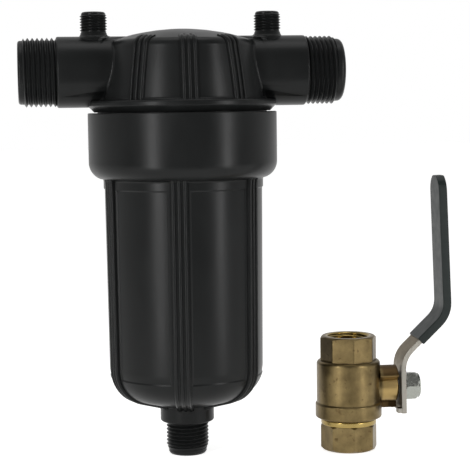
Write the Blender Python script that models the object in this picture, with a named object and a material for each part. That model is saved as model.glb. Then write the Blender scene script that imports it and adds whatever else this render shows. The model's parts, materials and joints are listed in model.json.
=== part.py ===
"""Self cleaning water filter and the ball valve that flushes it, standing side by side.

The filter stands on its drain nipple and the valve on its lower socket, both on the floor at z = 0.
Lengths are metres and +Z is up. The pipe runs along X, with its inlet at -X.
The head screws up out of the bowl, and the lever turns the ball through a quarter turn.
"""
import math

import bmesh
import bpy
from mathutils import Matrix, Vector

CLEARANCE = 0.0003          # gap kept between two pieces that touch
LARGE_SEGMENTS = 32         # sides of the head, the bowl and the valve's body
MEDIUM_SEGMENTS = 20        # sides of a pipe, a ball or a ring
SMALL_SEGMENTS = 16         # sides of a stem or a port
RING_SECTION_SIDES = 6      # sides of an O-ring's section

# Pipe threads: outer and core radius, as turned on the moulding and cut in the brass
PIPE_THREAD_RADIUS = 0.01662
DRAIN_THREAD_RADIUS = 0.01048
PORT_THREAD_RADIUS = 0.00658
SOCKET_BORE_RADIUS = 0.00932

# Bowl
DRAIN_BORE_RADIUS = 0.0070
DRAIN_NIPPLE_LENGTH = 0.0163
DRAIN_LEAD_LENGTH = 0.0050
DRAIN_LEAD_DEPTH = 0.0017
DRAIN_SHOULDER_RADIUS = 0.0133
DRAIN_SHOULDER_HEIGHT = 0.0082
DRAIN_SHOULDER_ROUND = 0.0012
BOWL_FLOOR_SLOPE = math.radians(16)
BOWL_NECK_RADIUS = 0.0391
BOWL_DRAFT = 0.0007
BOWL_FOOT_RADIUS = BOWL_NECK_RADIUS - BOWL_DRAFT
KNUCKLE_GAP = 0.0006
BOWL_WALL_HEIGHT = 0.0915
BOWL_WALL = 0.0036
COLLAR_STEP = 0.0070
COLLAR_RADIUS = BOWL_NECK_RADIUS + COLLAR_STEP
COLLAR_ROUND = 0.0085
COLLAR_HEIGHT = 0.0240
COLLAR_WALL = 0.0045
COLLAR_EDGE = 0.0005
COLLAR_LEDGE_RISE = 0.0016
SOCKET_WALL = 0.0030
SOCKET_DEPTH = 0.0065
SOCKET_STEP = 0.0005

# Ribs: groups of parallel ridges on a low pad, down the bowl and round the head
RIDGE_COUNT = 3
RIDGE_PITCH = 0.00275
RIDGE_WIDTH = 0.0021
RIDGE_TOP_WIDTH = 0.00105
RIDGE_HEIGHT = 0.0013
RIB_PAD_HEIGHT = 0.0004
RIB_ROOT = 0.0012
RIB_RUN_UP = 0.0028
BOWL_RIB_GROUPS = 6
BOWL_RIB_TURN = math.radians(-98.8)
HEAD_RIB_TURNS = (-127, -90, -53, 53, 90, 127)
HEAD_RIB_DOME_RUN = 0.0072

# Head
PIPE_RADIUS = 0.0171
PIPE_BORE_RADIUS = 0.0125
PIPE_RISE = 0.0139
PIPE_STEP = 0.0006
PIPE_THREAD_LENGTH = 0.0185
PIPE_LEAD_LENGTH = 0.0022
PIPE_LEAD_DEPTH = 0.0017
HEAD_FLANGE_INSET = 0.0001
HEAD_FLANGE_RADIUS = COLLAR_RADIUS - HEAD_FLANGE_INSET
HEAD_FLANGE_THICKNESS = 0.0056
FLANGE_SEAT_WIDTH = 0.0016
HEAD_FLANGE_LIFT = 0.0027
HEAD_FLANGE_EDGE = 0.0012
BELL_STEP = 0.0008
BELL_FOOT_RADIUS = COLLAR_RADIUS - COLLAR_WALL - CLEARANCE - BELL_STEP
BELL_TAPER = 0.0043
BELL_TOP_RADIUS = BELL_FOOT_RADIUS - BELL_TAPER
BELL_SHOULDER_HEIGHT = 0.0245
BELL_BULGE = 0.0003
BELL_WALL = 0.0036
BELL_SHOULDER_ROUND = 0.0048
DOME_EDGE_SLOPE = math.radians(18.4)
SPIGOT_RADIUS = 0.0152
SPIGOT_LENGTH = 0.0320
SPIGOT_WALL = 0.0030
INLET_TUBE_WALL = 0.0023
ELBOW_OVERLAP = 0.0040
PORT_GAP = 0.0019
PORT_OFFSET = BELL_FOOT_RADIUS + PORT_GAP
PORT_TO_PIPE_END = 0.0366
PIPE_LENGTH = 2 * (PORT_OFFSET + PORT_TO_PIPE_END)
PORT_HEIGHT = 0.0288
PORT_FLARE_RADIUS = 0.0078
PORT_FLARE_HEIGHT = 0.0191
PORT_FLARE_SLOPE = 0.0016
PORT_TIP_EDGE = 0.0008
PORT_BORE_RADIUS = 0.0034
PORT_TIP_WALL = 0.0030

# Screen cartridge
SCREEN_RADIUS = 0.0182
SCREEN_THICKNESS = 0.0004
CAGE_WALL = 0.0020
CAGE_BARS = 5
CAGE_STEPS_PER_BAR = 4
CAGE_WINDOW_ROWS = 4
CAGE_HOOP_WIDTH = 0.0030
CARTRIDGE_RING_WALL = 0.0040
TOP_RING_HEIGHT = 0.0120
BOTTOM_RING_HEIGHT = 0.0110
SCREEN_LAP = 0.0025
SPIGOT_STOP_THICKNESS = 0.0025
SPIGOT_STOP_WIDTH = 0.0023
SEAL_GROOVE_WIDTH = 0.0024
O_RING_RADIUS = 0.00075
BOWL_O_RING_RADIUS = 0.0010

# Flush valve: a body and a screwed end piece round a reduced-bore ball
VALVE_OFFSET_X = 0.0804
VALVE_OFFSET_Y = -0.0069
OCTAGON_FLATS = 0.0263
OCTAGON_CHAMFER = 0.0014
OCTAGON_TIP_CUT = 0.0002
SOCKET_LENGTH = 0.0115
SOCKET_MOUTH = 0.0013
LOWER_SOCKET_HEIGHT = 0.0129
END_RING_STEP = 0.0014
END_RING_HEIGHT = 0.0030
BAND_STEP = 0.0007
BAND_HEIGHT = 0.0076
BAND_EDGE = 0.0008
BODY_WALL = 0.0035
BODY_SHOULDER_ROUND = 0.0022
UPPER_SOCKET_HEIGHT = 0.0121
THROAT_LENGTH = 0.0055
BALL_RADIUS = 0.0104
BALL_BORE_RADIUS = 0.0065
BALL_GAP = 0.0004
SEAT_LIP = 0.00097
END_PIECE_REACH = 0.0053
END_THREAD_STEP = 0.0012
END_NOSE_LENGTH = 0.0010
END_SEAL_THICKNESS = 0.0008
BALL_CAVITY_RADIUS = BALL_RADIUS + BALL_GAP
BODY_RADIUS = BALL_CAVITY_RADIUS + END_THREAD_STEP + CLEARANCE + BODY_WALL
BAND_RADIUS = BODY_RADIUS + BAND_STEP
END_RING_RADIUS = BALL_CAVITY_RADIUS + END_THREAD_STEP + END_RING_STEP

# Stem, gland and boss, along the stem from the valve's axis
STEM_RADIUS = 0.0039
STEM_FLAT = 0.0028
STEM_FLANGE_RADIUS = 0.0052
STEM_FLANGE_THICKNESS = 0.0014
TONGUE_WIDTH = 0.0080
TONGUE_THICKNESS = 0.0032
SLOT_DEPTH = 0.0022
THRUST_WASHER_THICKNESS = 0.0008
BOSS_RADIUS = 0.0075
BOSS_LENGTH = 0.0083
BOSS_END = BODY_RADIUS + BOSS_LENGTH
BOSS_EDGE = 0.0009
GLAND_BORE_RADIUS = 0.0058
PACKING_THICKNESS = 0.0030
GLAND_NUT_THICKNESS = 0.0028
GLAND_DEPTH = 0.0064
LUG_REACH = 0.0115
LUG_ROOT = 0.0015
OPEN_LUG_TURNS = (110, 145)
CLOSED_LUG_TURNS = (305, 352)
BOSS_RIB_REACH = 0.0105
BOSS_RIB_TURNS = (164, 196)
STEM_SHOW = 0.0004
STEM_TIP = 0.0006

# Lever: a plate with two stop tabs bent in at its foot, and a dipped sleeve
LEVER_THICKNESS = 0.0024
LEVER_GAP = 0.0010
LEVER_HUB_DROP = 0.0122
LEVER_HUB_WIDTH = 0.0195
LEVER_NECK_WIDTH = 0.0165
LEVER_GRIP_WIDTH = 0.0148
LEVER_TAPER_LENGTH = 0.0240
LEVER_TIP_RISE = 0.1045
LEVER_BEND_RISES = (0.0152, 0.0367)
LEVER_GRIP_OUTSET = 0.0224
LEVER_TIP_OUTSET = 0.0199
LEVER_BEND_RADIUS = 0.014
LEVER_BEND_STEPS = 5
LEVER_TIP_FLAT = 0.0033
LEVER_BARE_LENGTH = 0.0387
SLEEVE_WALL = 0.0006
SLEEVE_EDGE_ROUND = 0.0005
TAB_WIDTH = 0.0045
TAB_REACH = 0.0020
TAB_THICKNESS = 0.0024
TAB_INSET = 0.0002
NUT_FLATS = 0.0130
NUT_TURN = -6
NUT_THICKNESS = 0.0080
NUT_CHAMFER = 0.0006
NUT_COLLAR_RADIUS = 0.0060
NUT_COLLAR_HEIGHT = 0.0012




def clear_scene():
    for scene_object in list(bpy.data.objects):
        bpy.data.objects.remove(scene_object, do_unlink=True)


def make_material(name, colour, roughness, metallic=0.0):
    material = bpy.data.materials.new(name)
    material.use_nodes = True
    shader = material.node_tree.nodes["Principled BSDF"]
    shader.inputs["Base Color"].default_value = (*colour, 1.0)
    shader.inputs["Roughness"].default_value = roughness
    shader.inputs["Metallic"].default_value = metallic
    return material


def add_frame(name, location=(0, 0, 0), parent=None):
    """An empty that carries an assembly, or the pieces that turn about one axis."""
    frame = bpy.data.objects.new(name, None)
    bpy.context.scene.collection.objects.link(frame)
    frame.location = location
    frame.parent = parent
    return frame


def add_object(name, bm, parent=None, finish=None, smooth_angle=35):
    """Turn a bmesh into an object, with round faces shaded smooth and its own material."""
    bmesh.ops.remove_doubles(bm, verts=bm.verts, dist=1e-6)
    bmesh.ops.recalc_face_normals(bm, faces=bm.faces)
    mesh = bpy.data.meshes.new(name)
    bm.to_mesh(mesh)
    bm.free()
    mesh.shade_smooth()
    mesh.set_sharp_from_angle(angle=math.radians(smooth_angle))
    piece = bpy.data.objects.new(name, mesh)
    bpy.context.scene.collection.objects.link(piece)
    piece.parent = parent
    if finish:
        mesh.materials.append(make_material(name, *finish))
    return piece


def arc(centre, radius, start, end, steps):
    """Points on an arc in a profile, from one angle to another in degrees."""
    angles = [math.radians(start + (end - start) * i / steps) for i in range(steps + 1)]
    return [(centre[0] + radius * math.cos(a), centre[1] + radius * math.sin(a)) for a in angles]


def lathe(outline, segments, closed=True):
    """Spin an outline of (radius, height) points round Z.

    An open outline that starts and ends on the axis gives a solid, and one that stays off it a sheet.
    """
    bm = bmesh.new()
    verts = [bm.verts.new((radius, 0, height)) for radius, height in outline]
    edges = [bm.edges.new(pair) for pair in zip(verts, verts[1:])]
    if closed:
        edges.append(bm.edges.new((verts[-1], verts[0])))
    bmesh.ops.spin(bm, geom=verts + edges, cent=(0, 0, 0), axis=(0, 0, 1),
                   angle=math.tau, steps=segments, use_merge=True, use_duplicate=False)
    bmesh.ops.remove_doubles(bm, verts=bm.verts, dist=1e-6)
    flat_poles = [vert for vert in bm.verts if vert.co.xy.length < 1e-6
                  and all(abs(edge.other_vert(vert).co.z - vert.co.z) < 1e-7 for edge in vert.link_edges)]
    bmesh.ops.dissolve_verts(bm, verts=flat_poles)
    bmesh.ops.recalc_face_normals(bm, faces=bm.faces)
    return bm


def rod(radius, start, end, segments):
    """A plain cylinder along Z."""
    return lathe([(0, start), (radius, start), (radius, end), (0, end)], segments, closed=False)


def box(low, high):
    """A block between two corners."""
    bm = bmesh.new()
    bmesh.ops.create_cube(bm, size=1.0)
    for vert in bm.verts:
        vert.co = Vector([low[i] if vert.co[i] < 0 else high[i] for i in range(3)])
    return bm


def prism(corners, across_flats, start, end):
    """A regular prism along Z with a flat face towards +X."""
    radius = across_flats / 2 / math.cos(math.pi / corners)
    bm = rod(radius, start, end, corners)
    bmesh.ops.rotate(bm, verts=bm.verts, cent=(0, 0, 0), matrix=Matrix.Rotation(math.pi / corners, 3, "Z"))
    return bm


def torus(major, minor, height, segments):
    """A ring of round section, as an O-ring."""
    section = arc((major, height), minor, 0, 360, RING_SECTION_SIDES)[:-1]
    return lathe(section, segments)


def placed(bm, matrix):
    bmesh.ops.transform(bm, matrix=matrix, verts=bm.verts)
    return bm


def along_x(bm):
    """Lay a form that was made along Z along +X."""
    return placed(bm, Matrix.Rotation(math.pi / 2, 4, "Y"))


def joined(parts):
    """Several separate closed forms in one bmesh."""
    bm = bmesh.new()
    for part in parts:
        mesh = bpy.data.meshes.new("part")
        part.to_mesh(mesh)
        part.free()
        bm.from_mesh(mesh)
        bpy.data.meshes.remove(mesh)
    return bm


def use_tool(target, tool, operation):
    """Cut a piece with an object or weld that object to it, and leave the object as a wire guide."""
    tool.hide_render = True
    tool.display_type = "WIRE"
    modifier = target.modifiers.new(tool.name, "BOOLEAN")
    modifier.operation = operation
    modifier.object = tool
    modifier.solver = "EXACT"


def cut(target, bm, name, operation="DIFFERENCE"):
    """Cut a form from a piece, or weld it on with UNION."""
    tool = add_object(name, bm, target.parent)
    use_tool(target, tool, operation)
    return tool


def rounded(piece, width):
    """Round a piece's sharp edges."""
    bevel = piece.modifiers.new("edge_round", "BEVEL")
    bevel.width = width
    bevel.segments = 2
    bevel.limit_method = "ANGLE"
    bevel.angle_limit = math.radians(40)


def ridge_group_section():
    """Section of one rib group: ridges on a pad, as (sideways, outwards) points, root first."""
    half_width = (RIDGE_COUNT - 1) / 2 * RIDGE_PITCH + RIDGE_WIDTH / 2
    pad_edge = half_width + RIB_PAD_HEIGHT
    points = [(-pad_edge, -RIB_ROOT), (-pad_edge, RIB_PAD_HEIGHT)]
    for index in range(RIDGE_COUNT):
        middle = (index - (RIDGE_COUNT - 1) / 2) * RIDGE_PITCH
        points += [(middle - RIDGE_WIDTH / 2, RIB_PAD_HEIGHT), (middle - RIDGE_TOP_WIDTH / 2, RIDGE_HEIGHT),
                   (middle + RIDGE_TOP_WIDTH / 2, RIDGE_HEIGHT), (middle + RIDGE_WIDTH / 2, RIB_PAD_HEIGHT)]
    points += [(pad_edge, RIB_PAD_HEIGHT), (pad_edge, -RIB_ROOT)]
    return points


def rib_group(path, turn):
    """Sweep the rib section along a wall's outline of (radius, height) points."""
    section = ridge_group_section()
    bm = bmesh.new()
    rings = []
    for index, (radius, height) in enumerate(path):
        before = Vector(path[max(index - 1, 0)])
        after = Vector(path[min(index + 1, len(path) - 1)])
        run = (after - before).normalized()
        outwards = Vector((run.y, -run.x))
        rings.append([bm.verts.new((radius + out * outwards.x, side, height + out * outwards.y))
                      for side, out in section])
    for lower, upper in zip(rings, rings[1:]):
        for i in range(len(section)):
            j = (i + 1) % len(section)
            bm.faces.new((lower[i], lower[j], upper[j], upper[i]))
    bm.faces.new(rings[0])
    bm.faces.new(list(reversed(rings[-1])))
    return placed(bm, Matrix.Rotation(turn, 4, "Z"))


class Heights:
    """Heights above the floor that several pieces share, and places along the stem, worked out."""
    shoulder_top = DRAIN_NIPPLE_LENGTH + DRAIN_SHOULDER_HEIGHT
    socket_outside = SCREEN_RADIUS - SCREEN_THICKNESS - SOCKET_STEP + SOCKET_WALL
    knuckle_x = socket_outside + KNUCKLE_GAP
    knuckle_radius = BOWL_FOOT_RADIUS - knuckle_x
    floor_at_knuckle = shoulder_top + math.tan(BOWL_FLOOR_SLOPE) * (knuckle_x - DRAIN_SHOULDER_RADIUS)
    knuckle_z = floor_at_knuckle + knuckle_radius / math.cos(BOWL_FLOOR_SLOPE)
    neck = knuckle_z + BOWL_WALL_HEIGHT
    collar_base = neck + COLLAR_ROUND
    bowl_top = collar_base + COLLAR_HEIGHT
    ledge = collar_base + COLLAR_LEDGE_RISE
    socket_floor = shoulder_top + BOWL_WALL + math.tan(BOWL_FLOOR_SLOPE) * DRAIN_BORE_RADIUS
    socket_top = socket_floor + SOCKET_DEPTH
    skirt_end = ledge + 2 * (BOWL_O_RING_RADIUS + CLEARANCE)
    flange_seat = bowl_top + CLEARANCE
    flange_top = flange_seat + HEAD_FLANGE_THICKNESS
    pipe_axis = flange_top + PIPE_RISE
    spigot_end = pipe_axis - SPIGOT_LENGTH
    bottom_ring_top = socket_floor + CLEARANCE + BOTTOM_RING_HEIGHT
    top_ring_base = spigot_end - CLEARANCE - SPIGOT_STOP_THICKNESS
    seat_reach = (BALL_RADIUS + CLEARANCE) * math.sqrt(2) - BALL_BORE_RADIUS - CLEARANCE + SEAT_LIP
    stem = LOWER_SOCKET_HEIGHT + END_RING_HEIGHT + END_PIECE_REACH + seat_reach
    upper_socket_floor = stem + seat_reach + CLEARANCE + THROAT_LENGTH
    valve_top = upper_socket_floor + SOCKET_LENGTH
    lever_face = BOSS_END + LEVER_GAP
    nut_start = lever_face + LEVER_THICKNESS + CLEARANCE
    stem_end = nut_start + NUT_THICKNESS + STEM_SHOW


HEIGHTS = Heights()
BLACK_NYLON = ((0.012, 0.013, 0.013), 0.42)
SEAL_RUBBER = ((0.010, 0.010, 0.010), 0.65)
WHITE_PTFE = ((0.80, 0.80, 0.77), 0.45)
CAST_BRASS = ((0.42, 0.33, 0.15), 0.36, 1.0)
TURNED_STEEL = ((0.55, 0.55, 0.53), 0.30, 1.0)
PRESSED_STEEL = ((0.40, 0.36, 0.30), 0.42, 1.0)
ZINC_PLATE = ((0.62, 0.64, 0.62), 0.28, 1.0)
CHROMED_BRASS = ((0.70, 0.70, 0.68), 0.12, 1.0)
STEEL_MESH = ((0.50, 0.50, 0.48), 0.40, 1.0)
GREEN_VINYL = ((0.014, 0.040, 0.037), 0.50)


def thread_bore_radius():
    """Inner radius of the bowl's collar, which the head's skirt screws into."""
    return COLLAR_RADIUS - COLLAR_WALL


def bowl_wall_path(steps):
    """Outline of the bowl's outside from the drain shoulder, round the knuckle, up to the neck."""
    knuckle = arc((HEIGHTS.knuckle_x, HEIGHTS.knuckle_z), HEIGHTS.knuckle_radius,
                  math.degrees(BOWL_FLOOR_SLOPE) - 90, 0, steps)
    return [(DRAIN_SHOULDER_RADIUS, HEIGHTS.shoulder_top)] + knuckle + [(BOWL_NECK_RADIUS, HEIGHTS.neck)]


def bowl_outline():
    """Section of the bowl: nipple, shoulder, wall, collar, threaded mouth, inside and cartridge seat."""
    tip_radius = DRAIN_THREAD_RADIUS - DRAIN_LEAD_DEPTH
    nipple = [(DRAIN_BORE_RADIUS, 0), (tip_radius, 0), (DRAIN_THREAD_RADIUS, DRAIN_LEAD_LENGTH),
              (DRAIN_THREAD_RADIUS, DRAIN_NIPPLE_LENGTH)]
    shoulder = arc((DRAIN_SHOULDER_RADIUS - DRAIN_SHOULDER_ROUND, DRAIN_NIPPLE_LENGTH + DRAIN_SHOULDER_ROUND),
                   DRAIN_SHOULDER_ROUND, -90, 0, 1)
    collar = arc((COLLAR_RADIUS - COLLAR_ROUND, HEIGHTS.collar_base), COLLAR_ROUND, -72, 0, 3)
    bore = thread_bore_radius()
    rim = [(COLLAR_RADIUS, HEIGHTS.bowl_top - COLLAR_EDGE), (COLLAR_RADIUS - COLLAR_EDGE, HEIGHTS.bowl_top),
           (bore + COLLAR_EDGE, HEIGHTS.bowl_top), (bore, HEIGHTS.bowl_top - COLLAR_EDGE),
           (bore, HEIGHTS.ledge), (BOWL_NECK_RADIUS - BOWL_WALL, HEIGHTS.ledge)]
    inside = arc((HEIGHTS.knuckle_x, HEIGHTS.knuckle_z), HEIGHTS.knuckle_radius - BOWL_WALL,
                 0, math.degrees(BOWL_FLOOR_SLOPE) - 90, 3)
    socket = socket_radius()
    outside = HEIGHTS.socket_outside
    floor_rise = math.tan(BOWL_FLOOR_SLOPE) * (outside - DRAIN_SHOULDER_RADIUS)
    floor = HEIGHTS.shoulder_top + BOWL_WALL / math.cos(BOWL_FLOOR_SLOPE) + floor_rise
    seat = [(outside, floor), (outside, HEIGHTS.socket_top), (socket, HEIGHTS.socket_top),
            (socket, HEIGHTS.socket_floor), (DRAIN_BORE_RADIUS, HEIGHTS.socket_floor)]
    return nipple + shoulder + bowl_wall_path(4) + collar + rim + inside + seat


def make_bowl(frame):
    bowl = add_object("bowl", lathe(bowl_outline(), LARGE_SEGMENTS), frame, BLACK_NYLON)
    root_drop = math.tan(BOWL_FLOOR_SLOPE) * RIB_ROOT
    inner_end = (DRAIN_SHOULDER_RADIUS - RIB_ROOT, HEIGHTS.shoulder_top - root_drop)
    upper_end = (BOWL_NECK_RADIUS, HEIGHTS.neck + RIB_RUN_UP)
    path = [inner_end] + bowl_wall_path(3)[1:] + [upper_end]
    turns = [BOWL_RIB_TURN + i * math.tau / BOWL_RIB_GROUPS for i in range(BOWL_RIB_GROUPS)]
    cut(bowl, joined([rib_group(path, turn) for turn in turns]), "bowl_rib_tool", "UNION")


def bell_profile(inset, steps, round_steps=3):
    """Outline of the head's bell from its foot to the end of its shoulder, moved in by inset."""
    points = []
    for index in range(steps):
        share = index / steps
        radius = BELL_FOOT_RADIUS + (BELL_TOP_RADIUS - BELL_FOOT_RADIUS) * share
        radius += BELL_BULGE * math.sin(math.pi * share) - inset
        points.append((radius, HEIGHTS.flange_top + BELL_SHOULDER_HEIGHT * share))
    centre = (BELL_TOP_RADIUS - BELL_SHOULDER_ROUND, HEIGHTS.flange_top + BELL_SHOULDER_HEIGHT)
    end = 90 - math.degrees(DOME_EDGE_SLOPE)
    return points + arc(centre, BELL_SHOULDER_ROUND - inset, 0, end, round_steps)


def dome_profile(edge, inner_radius, steps):
    """Outline of a dome that leaves an edge point at the dome's slope and runs in to a radius."""
    sphere = edge[0] / math.sin(DOME_EDGE_SLOPE)
    centre_height = edge[1] - sphere * math.cos(DOME_EDGE_SLOPE)
    end_slope = math.asin(inner_radius / sphere)
    slopes = [DOME_EDGE_SLOPE + (end_slope - DOME_EDGE_SLOPE) * i / steps for i in range(1, steps + 1)]
    return [(sphere * math.sin(s), centre_height + sphere * math.cos(s)) for s in slopes]


def head_outline():
    """Section of the head's outside: skirt, flange, bell and dome."""
    skirt = thread_bore_radius() - CLEARANCE
    seat, top = HEIGHTS.flange_seat, HEIGHTS.flange_top
    edge = HEAD_FLANGE_RADIUS
    lower = [(0, HEIGHTS.skirt_end), (skirt - COLLAR_EDGE, HEIGHTS.skirt_end),
             (skirt, HEIGHTS.skirt_end + COLLAR_EDGE), (skirt, seat), (skirt + FLANGE_SEAT_WIDTH, seat),
             (edge - COLLAR_EDGE, seat + HEAD_FLANGE_LIFT), (edge, seat + HEAD_FLANGE_LIFT + COLLAR_EDGE),
             (edge, top - HEAD_FLANGE_EDGE), (edge - HEAD_FLANGE_EDGE, top)]
    bell = bell_profile(0, 4)
    return lower + bell + dome_profile(bell[-1], 0, 5)


def head_hollow_outline():
    """The water space round the spigot, open at the skirt's end."""
    below = HEIGHTS.skirt_end - COLLAR_EDGE
    bell = bell_profile(BELL_WALL, 2, 2)
    dome = dome_profile(bell[-1], SPIGOT_RADIUS, 2)
    return ([(0, below), (bell[0][0], below)] + bell + dome
            + [(SPIGOT_RADIUS, HEIGHTS.spigot_end), (0, HEIGHTS.spigot_end)])


def pipe_outline():
    """Section of the cross pipe with its two turned thread ends."""
    end = PIPE_LENGTH / 2
    half = [(PIPE_THREAD_RADIUS - PIPE_LEAD_DEPTH, end), (PIPE_THREAD_RADIUS, end - PIPE_LEAD_LENGTH),
            (PIPE_THREAD_RADIUS, end - PIPE_THREAD_LENGTH),
            (PIPE_RADIUS, end - PIPE_THREAD_LENGTH - PIPE_STEP)]
    left = [(radius, -x) for radius, x in half]
    return [(0, -end)] + left + list(reversed(half)) + [(0, end)]


def port_outline():
    """Section of a pressure port from the pipe's axis up: flare, thread and tip."""
    return [(0, 0), (PORT_FLARE_RADIUS, 0), (PORT_FLARE_RADIUS, PORT_FLARE_HEIGHT - PORT_FLARE_SLOPE),
            (PORT_THREAD_RADIUS, PORT_FLARE_HEIGHT), (PORT_THREAD_RADIUS, PORT_HEIGHT - PORT_TIP_EDGE),
            (PORT_THREAD_RADIUS - PORT_TIP_EDGE, PORT_HEIGHT), (0, PORT_HEIGHT)]


def at_ports(make_form):
    """The same form over both pressure ports."""
    return joined([placed(make_form(), Matrix.Translation((side * PORT_OFFSET, 0, HEIGHTS.pipe_axis)))
                   for side in (-1, 1)])


def head_ribs():
    """Rib groups that climb the bell and end on the dome."""
    bell = bell_profile(0, 2)
    dome = dome_profile(bell[-1], BELL_TOP_RADIUS - HEAD_RIB_DOME_RUN, 1)
    foot = (BELL_FOOT_RADIUS, HEIGHTS.flange_top - RIB_ROOT)
    return joined([rib_group([foot] + bell + dome, math.radians(turn)) for turn in HEAD_RIB_TURNS])


def make_head(frame):
    axis = HEIGHTS.pipe_axis
    lift = Matrix.Translation((0, 0, axis))
    head = add_object("filter_head", lathe(head_outline(), LARGE_SEGMENTS, closed=False), frame, BLACK_NYLON)
    cut(head, placed(along_x(lathe(pipe_outline(), MEDIUM_SEGMENTS, closed=False)), lift),
        "pipe_tool", "UNION")
    cut(head, at_ports(lambda: lathe(port_outline(), SMALL_SEGMENTS, closed=False)), "port_tool", "UNION")
    cut(head, head_ribs(), "head_rib_tool", "UNION")
    hollow = cut(head, lathe(head_hollow_outline(), MEDIUM_SEGMENTS, closed=False), "head_hollow_tool")
    inlet_tube = rod(PIPE_BORE_RADIUS + INLET_TUBE_WALL, -BELL_FOOT_RADIUS, 0, MEDIUM_SEGMENTS)
    cut(hollow, placed(along_x(inlet_tube), lift), "inlet_tube_tool")
    past_end = PIPE_LENGTH / 2 + PIPE_STEP
    inlet = rod(PIPE_BORE_RADIUS, -past_end, ELBOW_OVERLAP, MEDIUM_SEGMENTS)
    outlet = rod(PIPE_BORE_RADIUS, SPIGOT_RADIUS + CLEARANCE, past_end, MEDIUM_SEGMENTS)
    cut(head, placed(along_x(inlet), lift), "inlet_bore_tool")
    cut(head, placed(along_x(outlet), lift), "outlet_bore_tool")
    spigot_bore = rod(SPIGOT_RADIUS - SPIGOT_WALL, HEIGHTS.spigot_end - SPIGOT_WALL, axis + ELBOW_OVERLAP,
                      MEDIUM_SEGMENTS)
    cut(head, spigot_bore, "spigot_bore_tool")
    port_bore_top = PORT_HEIGHT - PORT_TIP_WALL
    cut(head, at_ports(lambda: rod(PORT_BORE_RADIUS, 0, port_bore_top, SMALL_SEGMENTS)), "port_bore_tool")


def socket_radius():
    """Radius of the seat in the bowl that the cartridge's foot plugs into."""
    return HEIGHTS.socket_outside - SOCKET_WALL


def cage_radii():
    """Inner and outer radius of the cage."""
    inner = SCREEN_RADIUS + CLEARANCE
    return inner, inner + CAGE_WALL


def make_top_ring(frame):
    base = HEIGHTS.top_ring_base
    top = base + TOP_RING_HEIGHT
    bore = SPIGOT_RADIUS + CLEARANCE
    outside = cage_radii()[1]
    slot_in, slot_out = SCREEN_RADIUS - SCREEN_THICKNESS - CLEARANCE, SCREEN_RADIUS + CLEARANCE
    slot_top = base + SCREEN_LAP + CLEARANCE
    groove = bore + 2 * O_RING_RADIUS + CLEARANCE
    middle = (base + SPIGOT_STOP_THICKNESS + top) / 2
    outline = [(bore - SPIGOT_STOP_WIDTH, base), (slot_in, base), (slot_in, slot_top), (slot_out, slot_top),
               (slot_out, base), (outside, base), (outside, top), (bore, top),
               (bore, middle + SEAL_GROOVE_WIDTH / 2), (groove, middle + SEAL_GROOVE_WIDTH / 2),
               (groove, middle - SEAL_GROOVE_WIDTH / 2), (bore, middle - SEAL_GROOVE_WIDTH / 2),
               (bore, base + SPIGOT_STOP_THICKNESS), (bore - SPIGOT_STOP_WIDTH, base + SPIGOT_STOP_THICKNESS)]
    add_object("screen_top_ring", lathe(outline, MEDIUM_SEGMENTS), frame, BLACK_NYLON)
    seal = torus(bore + O_RING_RADIUS, O_RING_RADIUS, middle, MEDIUM_SEGMENTS)
    add_object("screen_top_o_ring", seal, frame, SEAL_RUBBER)


def make_bottom_ring(frame):
    base = HEIGHTS.socket_floor + CLEARANCE
    top = HEIGHTS.bottom_ring_top
    plug = socket_radius() - CLEARANCE
    bore = plug - CARTRIDGE_RING_WALL
    outside = cage_radii()[1]
    slot_in, slot_out = SCREEN_RADIUS - SCREEN_THICKNESS - CLEARANCE, SCREEN_RADIUS + CLEARANCE
    slot_floor = top - SCREEN_LAP - CLEARANCE
    groove = plug - 2 * O_RING_RADIUS - CLEARANCE
    middle = (base + HEIGHTS.socket_top) / 2
    outline = [(bore, base), (plug, base), (plug, middle - SEAL_GROOVE_WIDTH / 2),
               (groove, middle - SEAL_GROOVE_WIDTH / 2), (groove, middle + SEAL_GROOVE_WIDTH / 2),
               (plug, middle + SEAL_GROOVE_WIDTH / 2), (plug, HEIGHTS.socket_top + CLEARANCE),
               (outside, HEIGHTS.socket_top + CLEARANCE), (outside, top), (slot_out, top),
               (slot_out, slot_floor), (slot_in, slot_floor), (slot_in, top), (bore, top)]
    add_object("screen_bottom_ring", lathe(outline, MEDIUM_SEGMENTS), frame, BLACK_NYLON)
    seal = torus(plug - O_RING_RADIUS, O_RING_RADIUS, middle, MEDIUM_SEGMENTS)
    add_object("screen_bottom_o_ring", seal, frame, SEAL_RUBBER)


def make_screen(frame):
    low, high = HEIGHTS.bottom_ring_top - SCREEN_LAP, HEIGHTS.top_ring_base + SCREEN_LAP
    inner = SCREEN_RADIUS - SCREEN_THICKNESS
    outline = [(inner, low), (SCREEN_RADIUS, low), (SCREEN_RADIUS, high), (inner, high)]
    add_object("screen_mesh", lathe(outline, CAGE_BARS * CAGE_STEPS_PER_BAR), frame, STEEL_MESH)


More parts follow.
